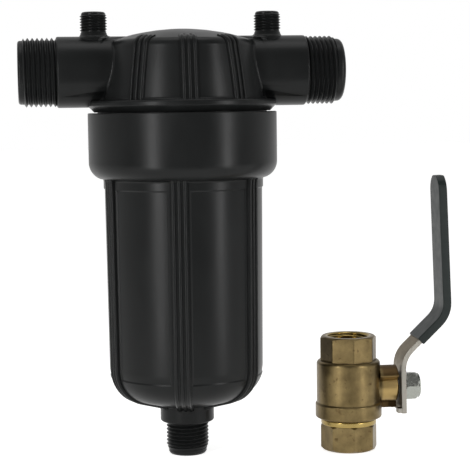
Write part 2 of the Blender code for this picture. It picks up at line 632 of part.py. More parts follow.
def make_cage(frame):
    """A tube with rows of windows between upright bars: window faces go, and the rest gets its wall."""
    low, high = HEIGHTS.bottom_ring_top + CLEARANCE, HEIGHTS.top_ring_base - CLEARANCE
    radius = sum(cage_radii()) / 2
    window = (high - low - CAGE_HOOP_WIDTH) / CAGE_WINDOW_ROWS - CAGE_HOOP_WIDTH
    levels = [low]
    for row in range(CAGE_WINDOW_ROWS):
        levels += [levels[-1] + CAGE_HOOP_WIDTH, levels[-1] + CAGE_HOOP_WIDTH + window]
    levels.append(high)
    segments = CAGE_BARS * CAGE_STEPS_PER_BAR
    bm = lathe([(radius, level) for level in levels], segments, closed=False)
    window_faces = []
    for face in bm.faces:
        centre = face.calc_center_median()
        step = int((math.atan2(centre.y, centre.x) % math.tau) / (math.tau / segments))
        row = sum(centre.z > level for level in levels) - 1
        if row % 2 and step % CAGE_STEPS_PER_BAR:
            window_faces.append(face)
    bmesh.ops.delete(bm, geom=window_faces, context="FACES")
    cage = add_object("screen_cage", bm, frame, BLACK_NYLON)
    wall = cage.modifiers.new("wall", "SOLIDIFY")
    wall.thickness = CAGE_WALL
    wall.offset = 0


def make_bowl_o_ring(frame):
    skirt_outer = thread_bore_radius() - CLEARANCE
    skirt_inner = BELL_FOOT_RADIUS - BELL_WALL
    middle = HEIGHTS.ledge + CLEARANCE + BOWL_O_RING_RADIUS
    ring = torus((skirt_outer + skirt_inner) / 2, BOWL_O_RING_RADIUS, middle, LARGE_SEGMENTS)
    add_object("bowl_o_ring", ring, frame, SEAL_RUBBER)


def octagon_end(frame, name, start, end, open_end):
    """An octagonal wrench end with a corner towards the stem, whose open edge is turned down to a cone."""
    corner = OCTAGON_FLATS / 2 / math.cos(math.pi / 8) + OCTAGON_CHAMFER
    tip = OCTAGON_FLATS / 2 - OCTAGON_TIP_CUT
    shank = open_end - math.copysign(OCTAGON_CHAMFER, open_end - (start + end) / 2)
    far = start if open_end == end else end
    end_form = placed(prism(8, OCTAGON_FLATS, start, end), Matrix.Rotation(math.pi / 8, 4, "Z"))
    end_tool = add_object(name, end_form, frame)
    cone = lathe([(0, far), (corner, far), (corner, shank), (tip, open_end), (0, open_end)],
                 LARGE_SEGMENTS, closed=False)
    cut(end_tool, cone, name + "_cone", "INTERSECT")
    return end_tool


def socket_bore(floor, mouth):
    """Outline of a threaded socket from its floor to its mouth, with a countersunk edge."""
    edge = mouth - math.copysign(SOCKET_MOUTH, mouth - floor)
    past = mouth + math.copysign(SOCKET_MOUTH, mouth - floor)
    wide = SOCKET_BORE_RADIUS + SOCKET_MOUTH
    return [(SOCKET_BORE_RADIUS, floor), (SOCKET_BORE_RADIUS, edge), (wide, mouth), (wide, past), (0, past)]


def make_valve_body(frame):
    base = LOWER_SOCKET_HEIGHT + END_RING_HEIGHT + CLEARANCE
    band_top = base + BAND_HEIGHT
    top = HEIGHTS.valve_top
    shoulder = top - UPPER_SOCKET_HEIGHT - BODY_SHOULDER_ROUND
    outline = [(0, base), (BAND_RADIUS - BAND_EDGE, base), (BAND_RADIUS, base + BAND_EDGE),
               (BAND_RADIUS, band_top - BAND_EDGE), (BODY_RADIUS, band_top)]
    outline += arc((BODY_RADIUS - BODY_SHOULDER_ROUND, shoulder), BODY_SHOULDER_ROUND, 0, 90, 4)
    outline.append((0, shoulder + BODY_SHOULDER_ROUND))
    body = add_object("valve_body", lathe(outline, LARGE_SEGMENTS, closed=False), frame, CAST_BRASS)
    use_tool(body, octagon_end(frame, "upper_octagon", shoulder, top, top), "UNION")
    lift = Matrix.Translation((0, 0, HEIGHTS.stem))
    boss = [(0, BALL_CAVITY_RADIUS), (BOSS_RADIUS, BALL_CAVITY_RADIUS), (BOSS_RADIUS, BOSS_END - BOSS_EDGE),
            (BOSS_RADIUS - BOSS_EDGE, BOSS_END), (0, BOSS_END)]
    cut(body, placed(along_x(lathe(boss, MEDIUM_SEGMENTS, closed=False)), lift), "boss_tool", "UNION")
    lugs = [boss_sector(OPEN_LUG_TURNS, LUG_REACH), boss_sector(CLOSED_LUG_TURNS, LUG_REACH),
            boss_sector(BOSS_RIB_TURNS, BOSS_RIB_REACH)]
    cut(body, placed(joined(lugs), lift), "lug_tool", "UNION")
    seat_back = HEIGHTS.seat_reach + CLEARANCE
    step = HEIGHTS.stem - seat_back - END_NOSE_LENGTH
    hollow = [(0, base - SOCKET_MOUTH), (end_thread_radius() + CLEARANCE, base - SOCKET_MOUTH),
              (end_thread_radius() + CLEARANCE, step), (BALL_CAVITY_RADIUS, step),
              (BALL_CAVITY_RADIUS, HEIGHTS.stem + seat_back), (BALL_BORE_RADIUS, HEIGHTS.stem + seat_back),
              (BALL_BORE_RADIUS, HEIGHTS.upper_socket_floor)]
    hollow += socket_bore(HEIGHTS.upper_socket_floor, top)
    cut(body, lathe(hollow, MEDIUM_SEGMENTS, closed=False), "waterway_tool")
    pocket = flange_pocket_radius()
    gland_floor = BOSS_END - GLAND_DEPTH
    stem_seat = [(0, BALL_BORE_RADIUS), (pocket, BALL_BORE_RADIUS), (pocket, stem_pocket_floor()),
                 (STEM_RADIUS + CLEARANCE, stem_pocket_floor()), (STEM_RADIUS + CLEARANCE, gland_floor),
                 (GLAND_BORE_RADIUS, gland_floor), (GLAND_BORE_RADIUS, BOSS_END + BOSS_EDGE),
                 (0, BOSS_END + BOSS_EDGE)]
    cut(body, placed(along_x(lathe(stem_seat, SMALL_SEGMENTS, closed=False)), lift), "stem_bore_tool")


def end_thread_radius():
    """Radius of the end piece's screwed part, which fills the body's lower mouth."""
    return BALL_CAVITY_RADIUS + END_THREAD_STEP


def flange_pocket_radius():
    """Radius of the pocket in the body that the stem's flange turns in."""
    return STEM_FLANGE_RADIUS + CLEARANCE


def flange_start():
    """Where the stem's flange begins, just outside the ball."""
    return BALL_RADIUS + 2 * CLEARANCE


def stem_pocket_floor():
    """Where the pocket of flange and thrust washer ends."""
    return flange_start() + STEM_FLANGE_THICKNESS + THRUST_WASHER_THICKNESS + 2 * CLEARANCE


def boss_sector(turns, reach):
    """A cast block on the boss between two turns in degrees, clockwise from the top seen from outside.

    The two lugs stop the lever's tabs, and the rib under the boss lies inside the tabs' path.
    """
    steps = 3
    angles = [math.radians(turns[0] + (turns[1] - turns[0]) * i / steps) for i in range(steps + 1)]
    inner = BOSS_RADIUS - BOSS_EDGE
    outline = [(inner * math.sin(a), inner * math.cos(a)) for a in angles]
    outline += [(reach * math.sin(a), reach * math.cos(a)) for a in reversed(angles)]
    bm = bmesh.new()
    root = BODY_RADIUS - LUG_ROOT
    face = bm.faces.new([bm.verts.new((root, y, z)) for y, z in outline])
    moved = bmesh.ops.extrude_face_region(bm, geom=[face])["geom"]
    bmesh.ops.translate(bm, verts=[item for item in moved if isinstance(item, bmesh.types.BMVert)],
                        vec=(BOSS_END - CLEARANCE - root, 0, 0))
    return bm


def make_end_piece(frame):
    seat_back = HEIGHTS.seat_reach + CLEARANCE
    top = HEIGHTS.stem - seat_back
    nose = BALL_CAVITY_RADIUS - CLEARANCE
    body_step = top - END_NOSE_LENGTH
    shoulder = body_step - END_SEAL_THICKNESS - 2 * CLEARANCE
    ring_top = LOWER_SOCKET_HEIGHT + END_RING_HEIGHT
    ring_root = LOWER_SOCKET_HEIGHT - OCTAGON_CHAMFER
    outline = [(0, ring_root), (END_RING_RADIUS, ring_root), (END_RING_RADIUS, ring_top),
               (end_thread_radius(), ring_top), (end_thread_radius(), shoulder),
               (nose, shoulder), (nose, top), (0, top)]
    piece = add_object("valve_end_piece", lathe(outline, MEDIUM_SEGMENTS, closed=False), frame, CAST_BRASS)
    use_tool(piece, octagon_end(frame, "lower_octagon", 0, LOWER_SOCKET_HEIGHT, 0), "UNION")
    bore = [(0, top + SOCKET_MOUTH), (BALL_BORE_RADIUS, top + SOCKET_MOUTH),
            (BALL_BORE_RADIUS, SOCKET_LENGTH)] + socket_bore(SOCKET_LENGTH, 0)
    cut(piece, lathe(bore, MEDIUM_SEGMENTS, closed=False), "end_bore_tool")
    seal = [(nose + CLEARANCE, shoulder + CLEARANCE), (end_thread_radius(), shoulder + CLEARANCE),
            (end_thread_radius(), body_step - CLEARANCE), (nose + CLEARANCE, body_step - CLEARANCE)]
    add_object("end_seal", lathe(seal, MEDIUM_SEGMENTS), frame, WHITE_PTFE)


def make_seats(frame):
    contact = (BALL_RADIUS + CLEARANCE) * math.sqrt(2)
    inner, outer = BALL_BORE_RADIUS + CLEARANCE, BALL_CAVITY_RADIUS - CLEARANCE
    back = HEIGHTS.seat_reach
    for name, side in (("upper_seat", 1), ("lower_seat", -1)):
        outline = [(inner, contact - inner), (outer, contact - outer), (outer, back), (inner, back)]
        seat = [(radius, HEIGHTS.stem + side * distance) for radius, distance in outline]
        add_object(name, lathe(seat, MEDIUM_SEGMENTS), frame, WHITE_PTFE)


def make_ball(frame):
    mouth = math.degrees(math.acos(BALL_BORE_RADIUS / BALL_RADIUS))
    ball = add_object("ball", lathe(arc((0, 0), BALL_RADIUS, -mouth, mouth, 6), MEDIUM_SEGMENTS), frame,
                      CHROMED_BRASS)
    half_slot = TONGUE_THICKNESS / 2 + CLEARANCE
    floor, far = BALL_RADIUS - SLOT_DEPTH, 2 * BALL_RADIUS
    slot = box((floor, -far, -half_slot), (far, far, half_slot))
    cut(ball, slot, "ball_slot_tool")


def make_stem(frame):
    start = flange_start()
    tongue_start = BALL_RADIUS - SLOT_DEPTH + CLEARANCE
    outline = [(0, start), (STEM_FLANGE_RADIUS, start), (STEM_FLANGE_RADIUS, start + STEM_FLANGE_THICKNESS),
               (STEM_RADIUS, start + STEM_FLANGE_THICKNESS), (STEM_RADIUS, HEIGHTS.stem_end - STEM_TIP),
               (STEM_RADIUS - STEM_TIP, HEIGHTS.stem_end), (0, HEIGHTS.stem_end)]
    stem = add_object("stem", along_x(lathe(outline, SMALL_SEGMENTS, closed=False)), frame, TURNED_STEEL)
    tongue = box((tongue_start, -TONGUE_WIDTH / 2, -TONGUE_THICKNESS / 2),
                 (start + STEM_FLANGE_THICKNESS / 2, TONGUE_WIDTH / 2, TONGUE_THICKNESS / 2))
    cut(stem, tongue, "tongue_tool", "UNION")
    far = 2 * STEM_RADIUS
    flats = [box((BOSS_END, low, -far), (HEIGHTS.stem_end + STEM_TIP, high, far))
             for low, high in ((-far, -STEM_FLAT), (STEM_FLAT, far))]
    cut(stem, joined(flats), "stem_flat_tool")


def make_stem_seals(frame):
    lift = Matrix.Translation((0, 0, HEIGHTS.stem))
    inner = STEM_RADIUS + CLEARANCE
    washer_start = flange_start() + STEM_FLANGE_THICKNESS + CLEARANCE
    packing_start = BOSS_END - GLAND_DEPTH + CLEARANCE
    nut_start = packing_start + PACKING_THICKNESS + CLEARANCE
    gland = GLAND_BORE_RADIUS - CLEARANCE
    pieces = (("stem_thrust_washer", STEM_FLANGE_RADIUS, washer_start, THRUST_WASHER_THICKNESS, WHITE_PTFE),
              ("stem_packing", gland, packing_start, PACKING_THICKNESS, WHITE_PTFE),
              ("gland_nut", gland, nut_start, GLAND_NUT_THICKNESS, CAST_BRASS))
    for name, outer, start, thickness, finish in pieces:
        ring = [(inner, start), (outer, start), (outer, start + thickness), (inner, start + thickness)]
        add_object(name, placed(along_x(lathe(ring, SMALL_SEGMENTS)), lift), frame, finish)


def lever_line(grip_end):
    """Centre line of the lever's plate in its side view, as (outset, rise) from the stem's axis."""
    plate = HEIGHTS.lever_face + LEVER_THICKNESS / 2
    low, high = LEVER_BEND_RISES
    corners = [Vector((plate, -LEVER_HUB_DROP)), Vector((plate, low)),
               Vector((plate + LEVER_GRIP_OUTSET, high)),
               Vector((plate + LEVER_TIP_OUTSET, grip_end))]
    points = [corners[0]]
    for before, corner, after in zip(corners, corners[1:], corners[2:]):
        inwards, outwards = (before - corner).normalized(), (after - corner).normalized()
        bend = math.pi - inwards.angle(outwards)
        reach = LEVER_BEND_RADIUS * math.tan(bend / 2)
        for step in range(LEVER_BEND_STEPS + 1):
            share = step / LEVER_BEND_STEPS
            points.append(corner + inwards * reach * (1 - share) ** 2 + outwards * reach * share ** 2)
    return points + [corners[-1]]


def tip_reach(half_width, flat):
    """How far before the tip the lever's rounded end begins, for the half width of its flat."""
    return math.sqrt(half_width ** 2 - flat ** 2)


def lever_half_width(distance, total, grow):
    """Half the lever's width, which falls from the hub to the neck and on to the round tip."""
    if distance < LEVER_TAPER_LENGTH:
        share = distance / LEVER_TAPER_LENGTH
        width = LEVER_HUB_WIDTH + (LEVER_NECK_WIDTH - LEVER_HUB_WIDTH) * share
    else:
        share = (distance - LEVER_TAPER_LENGTH) / (total - LEVER_TAPER_LENGTH)
        width = LEVER_NECK_WIDTH + (LEVER_GRIP_WIDTH - LEVER_NECK_WIDTH) * share
    half_width = width / 2 + grow
    rise = max(tip_reach(half_width, LEVER_TIP_FLAT + grow) - (total - distance), 0.0)
    return math.sqrt(half_width ** 2 - rise ** 2)


def stations(line, start, grow):
    """Cut a centre line into (point, direction, half width) steps, close together at the round tip."""
    lengths = [0.0]
    for before, after in zip(line, line[1:]):
        lengths.append(lengths[-1] + (after - before).length)
    total = lengths[-1]
    half_grip = LEVER_GRIP_WIDTH / 2 + grow
    reach = tip_reach(half_grip, LEVER_TIP_FLAT + grow)
    wanted = [length for length in lengths if start < length < total - reach] + [start, total]
    wanted += [total - reach + half_grip * math.cos(math.radians(turn)) for turn in (46, 68, 90)]
    steps = []
    for distance in sorted(wanted):
        index = max(i for i in range(len(line) - 1) if lengths[i] <= distance)
        run = (line[index + 1] - line[index]).normalized()
        point = line[index] + run * (distance - lengths[index])
        steps.append((point, run, lever_half_width(distance, total, grow)))
    return steps


def lever_plate(grip_end, start, grow, thickness):
    """A strip along the lever's line, as wide as the lever there plus grow on each side."""
    bm = bmesh.new()
    rings = []
    for point, run, half_width in stations(lever_line(grip_end), start, grow):
        across = Vector((-run.y, run.x)) * thickness / 2
        rings.append([bm.verts.new((point.x + sign * across.x, side * half_width, point.y + sign * across.y))
                      for side, sign in ((-1, -1), (1, -1), (1, 1), (-1, 1))])
    for lower, upper in zip(rings, rings[1:]):
        for i in range(4):
            bm.faces.new((lower[i], lower[(i + 1) % 4], upper[(i + 1) % 4], upper[i]))
    bm.faces.new(rings[0])
    bm.faces.new(list(reversed(rings[-1])))
    return bm


def make_lever(frame):
    lever = add_object("lever", lever_plate(LEVER_TIP_RISE, 0, 0, LEVER_THICKNESS), frame, PRESSED_STEEL)
    outer = LEVER_HUB_WIDTH / 2 - TAB_INSET
    foot = -LEVER_HUB_DROP + TAB_INSET
    tabs = [box((HEIGHTS.lever_face - TAB_REACH, edge, foot),
                (HEIGHTS.lever_face + LEVER_THICKNESS / 2, edge + TAB_WIDTH, foot + TAB_THICKNESS))
            for edge in (-outer, outer - TAB_WIDTH)]
    cut(lever, joined(tabs), "tab_tool", "UNION")
    hole = rod(STEM_RADIUS + CLEARANCE, BOSS_END, HEIGHTS.lever_face + 2 * LEVER_THICKNESS, SMALL_SEGMENTS)
    hole_tool = cut(lever, along_x(hole), "lever_hole_tool")
    flat = STEM_FLAT + CLEARANCE
    cut(hole_tool, box((0, -flat, -2 * STEM_RADIUS), (HEIGHTS.stem_end, flat, 2 * STEM_RADIUS)),
        "lever_flat_tool", "INTERSECT")


def make_lever_nut(frame):
    """A lock nut: a hexagon with a turned chamfer, and a short collar at its outer end."""
    start = HEIGHTS.nut_start
    end = start + NUT_THICKNESS
    shoulder = end - NUT_COLLAR_HEIGHT
    turn = Matrix.Rotation(math.radians(NUT_TURN), 4, "X")
    hexagon = placed(along_x(prism(6, NUT_FLATS, start, end + NUT_CHAMFER)), turn)
    nut = add_object("lever_nut", hexagon, frame, ZINC_PLATE)
    past = NUT_FLATS / 2 / math.cos(math.pi / 6) + NUT_CHAMFER
    turned = [(0, start - NUT_CHAMFER), (past, start - NUT_CHAMFER), (past, shoulder - 2 * NUT_CHAMFER),
              (NUT_FLATS / 2, shoulder), (NUT_COLLAR_RADIUS, shoulder), (NUT_COLLAR_RADIUS, end), (0, end)]
    cut(nut, along_x(lathe(turned, MEDIUM_SEGMENTS, closed=False)), "nut_turning_tool", "INTERSECT")
    cut(nut, along_x(rod(STEM_RADIUS + CLEARANCE, 0, 2 * HEIGHTS.stem_end, SMALL_SEGMENTS)), "nut_bore_tool")


def make_sleeve(frame):
    around = SLEEVE_WALL + CLEARANCE
    outside = lever_plate(LEVER_TIP_RISE + around, LEVER_BARE_LENGTH, around, LEVER_THICKNESS + 2 * around)
    sleeve = add_object("lever_sleeve", outside, frame, GREEN_VINYL)
    rounded(sleeve, SLEEVE_EDGE_ROUND)
    inside = lever_plate(LEVER_TIP_RISE + CLEARANCE, LEVER_BARE_LENGTH - SLEEVE_WALL, CLEARANCE,
                         LEVER_THICKNESS + 2 * CLEARANCE)
    cut(sleeve, inside, "sleeve_hollow_tool")


def centre_set(frames):
    """Move both assemblies together so that the middle of the whole set is over the origin."""
    bpy.context.view_layer.update()
    depsgraph = bpy.context.evaluated_depsgraph_get()
    corners = []
    for piece in bpy.context.scene.objects:
        if piece.type == "MESH" and not piece.hide_render:
            solid = piece.evaluated_get(depsgraph)
            corners += [solid.matrix_world @ vert.co for vert in solid.data.vertices]
    middle = [(min(c[i] for c in corners) + max(c[i] for c in corners)) / 2 for i in range(2)]
    for frame in frames:
        frame.location.x -= middle[0]
        frame.location.y -= middle[1]


def main():
    clear_scene()
    filter_frame = add_frame("filter_axis")
    make_head(filter_frame)
    make_bowl(filter_frame)
    make_bowl_o_ring(filter_frame)
    make_top_ring(filter_frame)
    make_bottom_ring(filter_frame)
    make_screen(filter_frame)
    make_cage(filter_frame)
    valve_frame = add_frame("valve_axis", (VALVE_OFFSET_X, VALVE_OFFSET_Y, 0))
    make_valve_body(valve_frame)
    make_end_piece(valve_frame)
    make_seats(valve_frame)
    make_stem_seals(valve_frame)
    stem_frame = add_frame("stem_axis", (0, 0, HEIGHTS.stem), parent=valve_frame)
    make_ball(stem_frame)
    make_stem(stem_frame)
    make_lever(stem_frame)
    make_lever_nut(stem_frame)
    make_sleeve(stem_frame)
    centre_set((filter_frame, valve_frame))


main()
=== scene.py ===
# %% [markdown]
# # A self cleaning water filter and its flush valve
# The object is a black moulded filter that is screwed into a one inch pipe, and the small brass ball
# valve that closes its drain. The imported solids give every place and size. This file dresses them: it
# makes the fine mouldings, the screw threads, the castings and the surfaces, piece by piece.

# %% Load the solids and keep their box
import json
import math

import bpy
from mathutils import Matrix, Vector


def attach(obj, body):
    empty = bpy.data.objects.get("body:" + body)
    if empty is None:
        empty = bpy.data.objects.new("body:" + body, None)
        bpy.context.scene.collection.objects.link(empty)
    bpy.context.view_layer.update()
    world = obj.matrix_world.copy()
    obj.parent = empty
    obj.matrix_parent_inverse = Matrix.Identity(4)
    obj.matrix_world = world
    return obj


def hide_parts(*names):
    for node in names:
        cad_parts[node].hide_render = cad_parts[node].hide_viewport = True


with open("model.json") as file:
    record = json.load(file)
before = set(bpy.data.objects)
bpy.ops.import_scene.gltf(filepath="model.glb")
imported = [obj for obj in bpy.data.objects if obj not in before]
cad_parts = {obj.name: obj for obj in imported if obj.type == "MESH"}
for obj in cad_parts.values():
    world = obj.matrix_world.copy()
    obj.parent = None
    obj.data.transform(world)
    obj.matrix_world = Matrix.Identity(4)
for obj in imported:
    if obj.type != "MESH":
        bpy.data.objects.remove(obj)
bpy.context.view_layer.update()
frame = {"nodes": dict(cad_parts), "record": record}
nodes = frame["nodes"]
joints = {joint["name"]: joint for joint in frame["record"]["behaviour"]["joints"]}
MM = 0.001
print("solids:", len(nodes))

# %% [markdown]
# Two upright lines carry everything: the filter's axis, and the valve's axis with its stem pointing
# out sideways. Both are read from the joints of the solids, so a piece made here lands on them. Each
# piece is modelled round the origin and then moved by one of these places.

# %% Find the axes
FILTER_AXIS = Vector(joints["head_turn"]["pos_m"])
STEM_POINT = Vector(joints["lever_turn"]["pos_m"])
STEM_WAY = -Vector(joints["lever_turn"]["axis"])
STEM_TURN = math.atan2(STEM_WAY.y, STEM_WAY.x)
FILTER_PLACE = Matrix.Translation((FILTER_AXIS.x, FILTER_AXIS.y, 0))
VALVE_PLACE = Matrix.Translation((STEM_POINT.x, STEM_POINT.y, 0)) @ Matrix.Rotation(STEM_TURN, 4, "Z")
LIFT_STEM = Matrix.Translation((0, 0, STEM_POINT.z))
LEVER_PLACE = VALVE_PLACE @ LIFT_STEM
ALONG_X = Matrix.Rotation(math.pi / 2, 4, "Y")
print("filter axis", FILTER_AXIS[:], "stem", STEM_POINT[:], "turned", math.degrees(STEM_TURN))

# %% [markdown]
# The photograph was taken with a long lens from about 0.7 m, a little above the bowl and turned a few
# degrees, so that the left pipe end is nearer. The camera repeats that. Its place is measured from the
# filter's foot. It also rolls by less than a degree, because the filter leans slightly in the picture.

# %% Place the camera
CAMERA_OFFSET = Vector((-0.0672, -0.7015, 0.1698))
CAMERA_AZIMUTH = math.radians(7.5)
CAMERA_PITCH = math.radians(-5.0)
CAMERA_ROLL = math.radians(-0.775)
FOCAL_PIXELS = 1435
PHOTO_PIXELS = 470
SENSOR = 36.0
bpy.ops.object.camera_add(location=Vector((FILTER_AXIS.x, FILTER_AXIS.y, 0)) + CAMERA_OFFSET)
camera = bpy.context.object
camera.name = "photo_camera"
camera.rotation_euler = (Matrix.Rotation(-CAMERA_AZIMUTH, 3, "Z")
                         @ Matrix.Rotation(math.pi / 2 + CAMERA_PITCH, 3, "X")
                         @ Matrix.Rotation(CAMERA_ROLL, 3, "Z")).to_euler()
camera.data.sensor_width = SENSOR
camera.data.lens = FOCAL_PIXELS / PHOTO_PIXELS * SENSOR
camera.data.clip_start = 0.01
bpy.context.scene.camera = camera
print("lens:", round(camera.data.lens, 1), "mm")

# %% [markdown]
# ## Light, room and paper
# Colours are written as the hex codes of a paint chart, and Blender wants linear light. Every node tree
# in this file is built by one helper, which adds a node, sets it and links it in a single line. A link
# or value goes to an input by name, or by number after an underscore where inputs share a name.

# %% Helpers for colours and nodes
def colour(code):
    """A hex sRGB colour as linear light, with full alpha."""
    parts = [int(code[i:i + 2], 16) / 255 for i in (1, 3, 5)]
    linear = [c / 12.92 if c <= 0.04045 else ((c + 0.055) / 1.055) ** 2.4 for c in parts]
    return (*linear, 1.0)


def add_node(tree, kind, settings=None, **links):
    """Add a node, set its properties, and fill its inputs with values, outputs or nodes' first outputs."""
    node = tree.nodes.new(kind)
    for key, value in (settings or {}).items():
        setattr(node, key, value)
    for key, value in links.items():
        socket = node.inputs[int(key[1:])] if key[1:].isdigit() else node.inputs[key.replace("_", " ")]
        if isinstance(value, bpy.types.Node):
            value = value.outputs[0]
        if isinstance(value, bpy.types.NodeSocket):
            tree.links.new(value, socket)
        else:
            socket.default_value = value
    return node


WHITE = colour("#ffffff")
PAPER_WHITE = colour("#f2f2f0")
print("paper in linear light:", [round(part, 3) for part in PAPER_WHITE])

# %% [markdown]
# Two tall narrow lamps in front, one on each side, draw the two upright streaks that show how round
# the black plastic is. They stand near, so that the wall mirrors them and not the floor. A wide lamp
# above lights the brass and the tops of the pipe.

# %% Hang the lamps
LAMP_AIM = Vector((0, 0, 0.10))
STREAK_DISTANCE = 0.45
STREAK_LIFT = 4
STREAK_SIZE = (0.045, 0.5)


def add_lamp(name, bearing, lift, distance, size, power):
    """A soft rectangular lamp, aimed at the middle of the set. Bearing 0 is the camera's side."""
    turn, rise = math.radians(bearing), math.radians(lift)
    way = Vector((math.sin(turn) * math.cos(rise), -math.cos(turn) * math.cos(rise), math.sin(rise)))
    bpy.ops.object.light_add(type="AREA", location=LAMP_AIM + way * distance)
    lamp = bpy.context.object
    lamp.name = name
    lamp.rotation_euler = way.to_track_quat("Z", "Y").to_euler()
    lamp.data.shape = "RECTANGLE"
    lamp.data.size, lamp.data.size_y = size
    lamp.data.energy = power
    print(name, [round(part, 3) for part in lamp.location])


add_lamp("left_softbox", -42.5, STREAK_LIFT, STREAK_DISTANCE, STREAK_SIZE, 1.45)
add_lamp("right_softbox", 44.5, STREAK_LIFT, STREAK_DISTANCE, STREAK_SIZE, 1.25)
add_lamp("top_softbox", 0, 92, 1.0, (0.7, 0.4), 1.5)

# %% [markdown]
# The room is white where the camera sees it. What the pieces mirror is bright behind the object and
# dark on the camera's side, as a photographer's room is. Matt surfaces get a weak even light. The
# Light Path node tells these rays apart.

# %% Set up the room
FRONT_GLOW, BACK_GLOW = 0.22, 0.75
EVEN_LIGHT = 0.32


def seen_rays(tree):
    """The Light Path node, and a node whose value is 1 for camera, transmission and glossy rays."""
    rays = add_node(tree, "ShaderNodeLightPath")
    seen = add_node(tree, "ShaderNodeMath", {"operation": "MAXIMUM"},
                    _0=rays.outputs["Is Camera Ray"], _1=rays.outputs["Is Transmission Ray"])
    seen = add_node(tree, "ShaderNodeMath", {"operation": "MAXIMUM"},
                    _0=seen, _1=rays.outputs["Is Glossy Ray"])
    return rays, seen


world = bpy.data.worlds.new("white_paper")
bpy.context.scene.world = world
world.use_nodes = True
tree = world.node_tree
tree.nodes.clear()
rays, seen = seen_rays(tree)
way = add_node(tree, "ShaderNodeTexCoord").outputs["Generated"]
depth = add_node(tree, "ShaderNodeSeparateXYZ", Vector=way).outputs[1]
room = add_node(tree, "ShaderNodeMapRange", Value=depth, From_Min=-0.5, From_Max=0.1,
                To_Min=FRONT_GLOW, To_Max=BACK_GLOW)
room = add_node(tree, "ShaderNodeMath", {"operation": "MAXIMUM"}, _0=room, _1=rays.outputs["Is Camera Ray"])
even = add_node(tree, "ShaderNodeBackground", Color=WHITE, Strength=EVEN_LIGHT)
bright = add_node(tree, "ShaderNodeBackground", Color=WHITE, Strength=room)
mixed = add_node(tree, "ShaderNodeMixShader", _0=seen, _1=even, _2=bright)
add_node(tree, "ShaderNodeOutputWorld", Surface=mixed)
print("nodes in the room:", len(tree.nodes))

# %% [markdown]
# The paper starts just under the object, a little in front of it, and runs far back. Matt paper alone
# turns grey away from the lamps, so the rays that look at it also see a glow of its own. The object's
# shadow still shows, because it darkens the matt part.

# %% Lay the paper
PAPER_SIZE = 6.0
PAPER_FRONT = -0.28
PAPER_DROP = 0.4 * MM
PAPER_GLOW = 0.75
bpy.ops.mesh.primitive_plane_add(size=PAPER_SIZE, location=(0, PAPER_FRONT + PAPER_SIZE / 2, -PAPER_DROP))
floor = bpy.context.object
floor.name = "paper_floor"
paper = bpy.data.materials.new("white_paper_sweep")
paper.use_nodes = True
tree = paper.node_tree
tree.nodes.clear()
rays, seen = seen_rays(tree)
matt = add_node(tree, "ShaderNodeBsdfDiffuse", Color=PAPER_WHITE)
glow = add_node(tree, "ShaderNodeEmission", Color=WHITE, Strength=PAPER_GLOW)
both = add_node(tree, "ShaderNodeAddShader", _0=matt, _1=glow)
mixed = add_node(tree, "ShaderNodeMixShader", _0=seen, _1=matt, _2=both)
add_node(tree, "ShaderNodeOutputMaterial", Surface=mixed)
floor.data.materials.append(paper)
bpy.context.scene.view_settings.view_transform = "Standard"
print("paper from", PAPER_FRONT, "m back to", PAPER_FRONT + PAPER_SIZE, "m")

# %% [markdown]
# ## Working with operators
# An operator works on what is selected, so a helper selects the wanted pieces and nothing else. Another
# puts a piece's place into its mesh and leaves the object itself at the origin. Modifiers are applied
# at once, and the Bevel that rounds sharp edges is used often enough to have its own helper.

# %% Helpers to select, settle and apply
def only(*pieces):
    """Select these pieces alone, with the first one active."""
    bpy.ops.object.select_all(action="DESELECT")
    for piece in pieces:
        piece.select_set(True)
    bpy.context.view_layer.objects.active = pieces[0]


def settle(piece, place=None):
    """Put a place into the mesh itself, so that the object stays at the origin, unturned and unscaled."""
    if place:
        piece.matrix_world = place @ piece.matrix_world
    only(piece)
    bpy.ops.object.transform_apply(location=True, rotation=True, scale=True)
    return piece


def named(name, scale=(1, 1, 1)):
    """Name the primitive that was just added, stretch it and settle it."""
    piece = bpy.context.object
    piece.name = name
    piece.scale = scale
    return settle(piece)


def apply(piece, kind, **settings):
    """Give a piece a modifier and apply it at once."""
    modifier = piece.modifiers.new(kind.lower(), kind)
    for key, value in settings.items():
        setattr(modifier, key, value)
    only(piece)
    bpy.ops.object.modifier_apply(modifier=modifier.name)


def soften(piece, width, sharper_than, segments=3):
    """Round the edges that bend by more than so many degrees."""
    apply(piece, "BEVEL", width=width, segments=segments, limit_method="ANGLE",
          angle_limit=math.radians(sharper_than))


def choose(piece, elements, indices, mode):
    """Open a piece in edit mode with only these faces or edges selected."""
    only(piece)
    bpy.ops.object.mode_set(mode="EDIT")
    bpy.ops.mesh.select_all(action="DESELECT")
    bpy.ops.object.mode_set(mode="OBJECT")
    for index in indices:
        elements[index].select = True
    bpy.ops.object.mode_set(mode="EDIT")
    bpy.ops.mesh.select_mode(type=mode)
    print(mode.lower() + "s chosen:", len(indices))


def close_form():
    """Leave edit mode with every face of the open form pointing outwards."""
    bpy.ops.mesh.select_all(action="SELECT")
    bpy.ops.mesh.normals_make_consistent(inside=False)
    bpy.ops.object.mode_set(mode="OBJECT")


# %% [markdown]
# Most of the object is round, so most of it can be drawn up like a pot on a wheel: a circle is the
# start, and its ring is extruded to the next height and resized to the next radius, again and again.
# A filled circle gives a solid body, and an open one gives a wall that closes on itself.

# %% Helpers for turned forms
ROUND_SIDES = 144
PIPE_SIDES = 96
SMALL_SIDES = 64


def arc(centre, radius, start, end, steps):
    """Points on a round stretch of an outline, between two angles in degrees."""
    angles = [math.radians(start + (end - start) * i / steps) for i in range(steps + 1)]
    return [(centre[0] + radius * math.cos(a), centre[1] + radius * math.sin(a)) for a in angles]


def in_mm(points):
    """An outline that is written in millimetres, in metres."""
    return [(a * MM, b * MM) for a, b in points]


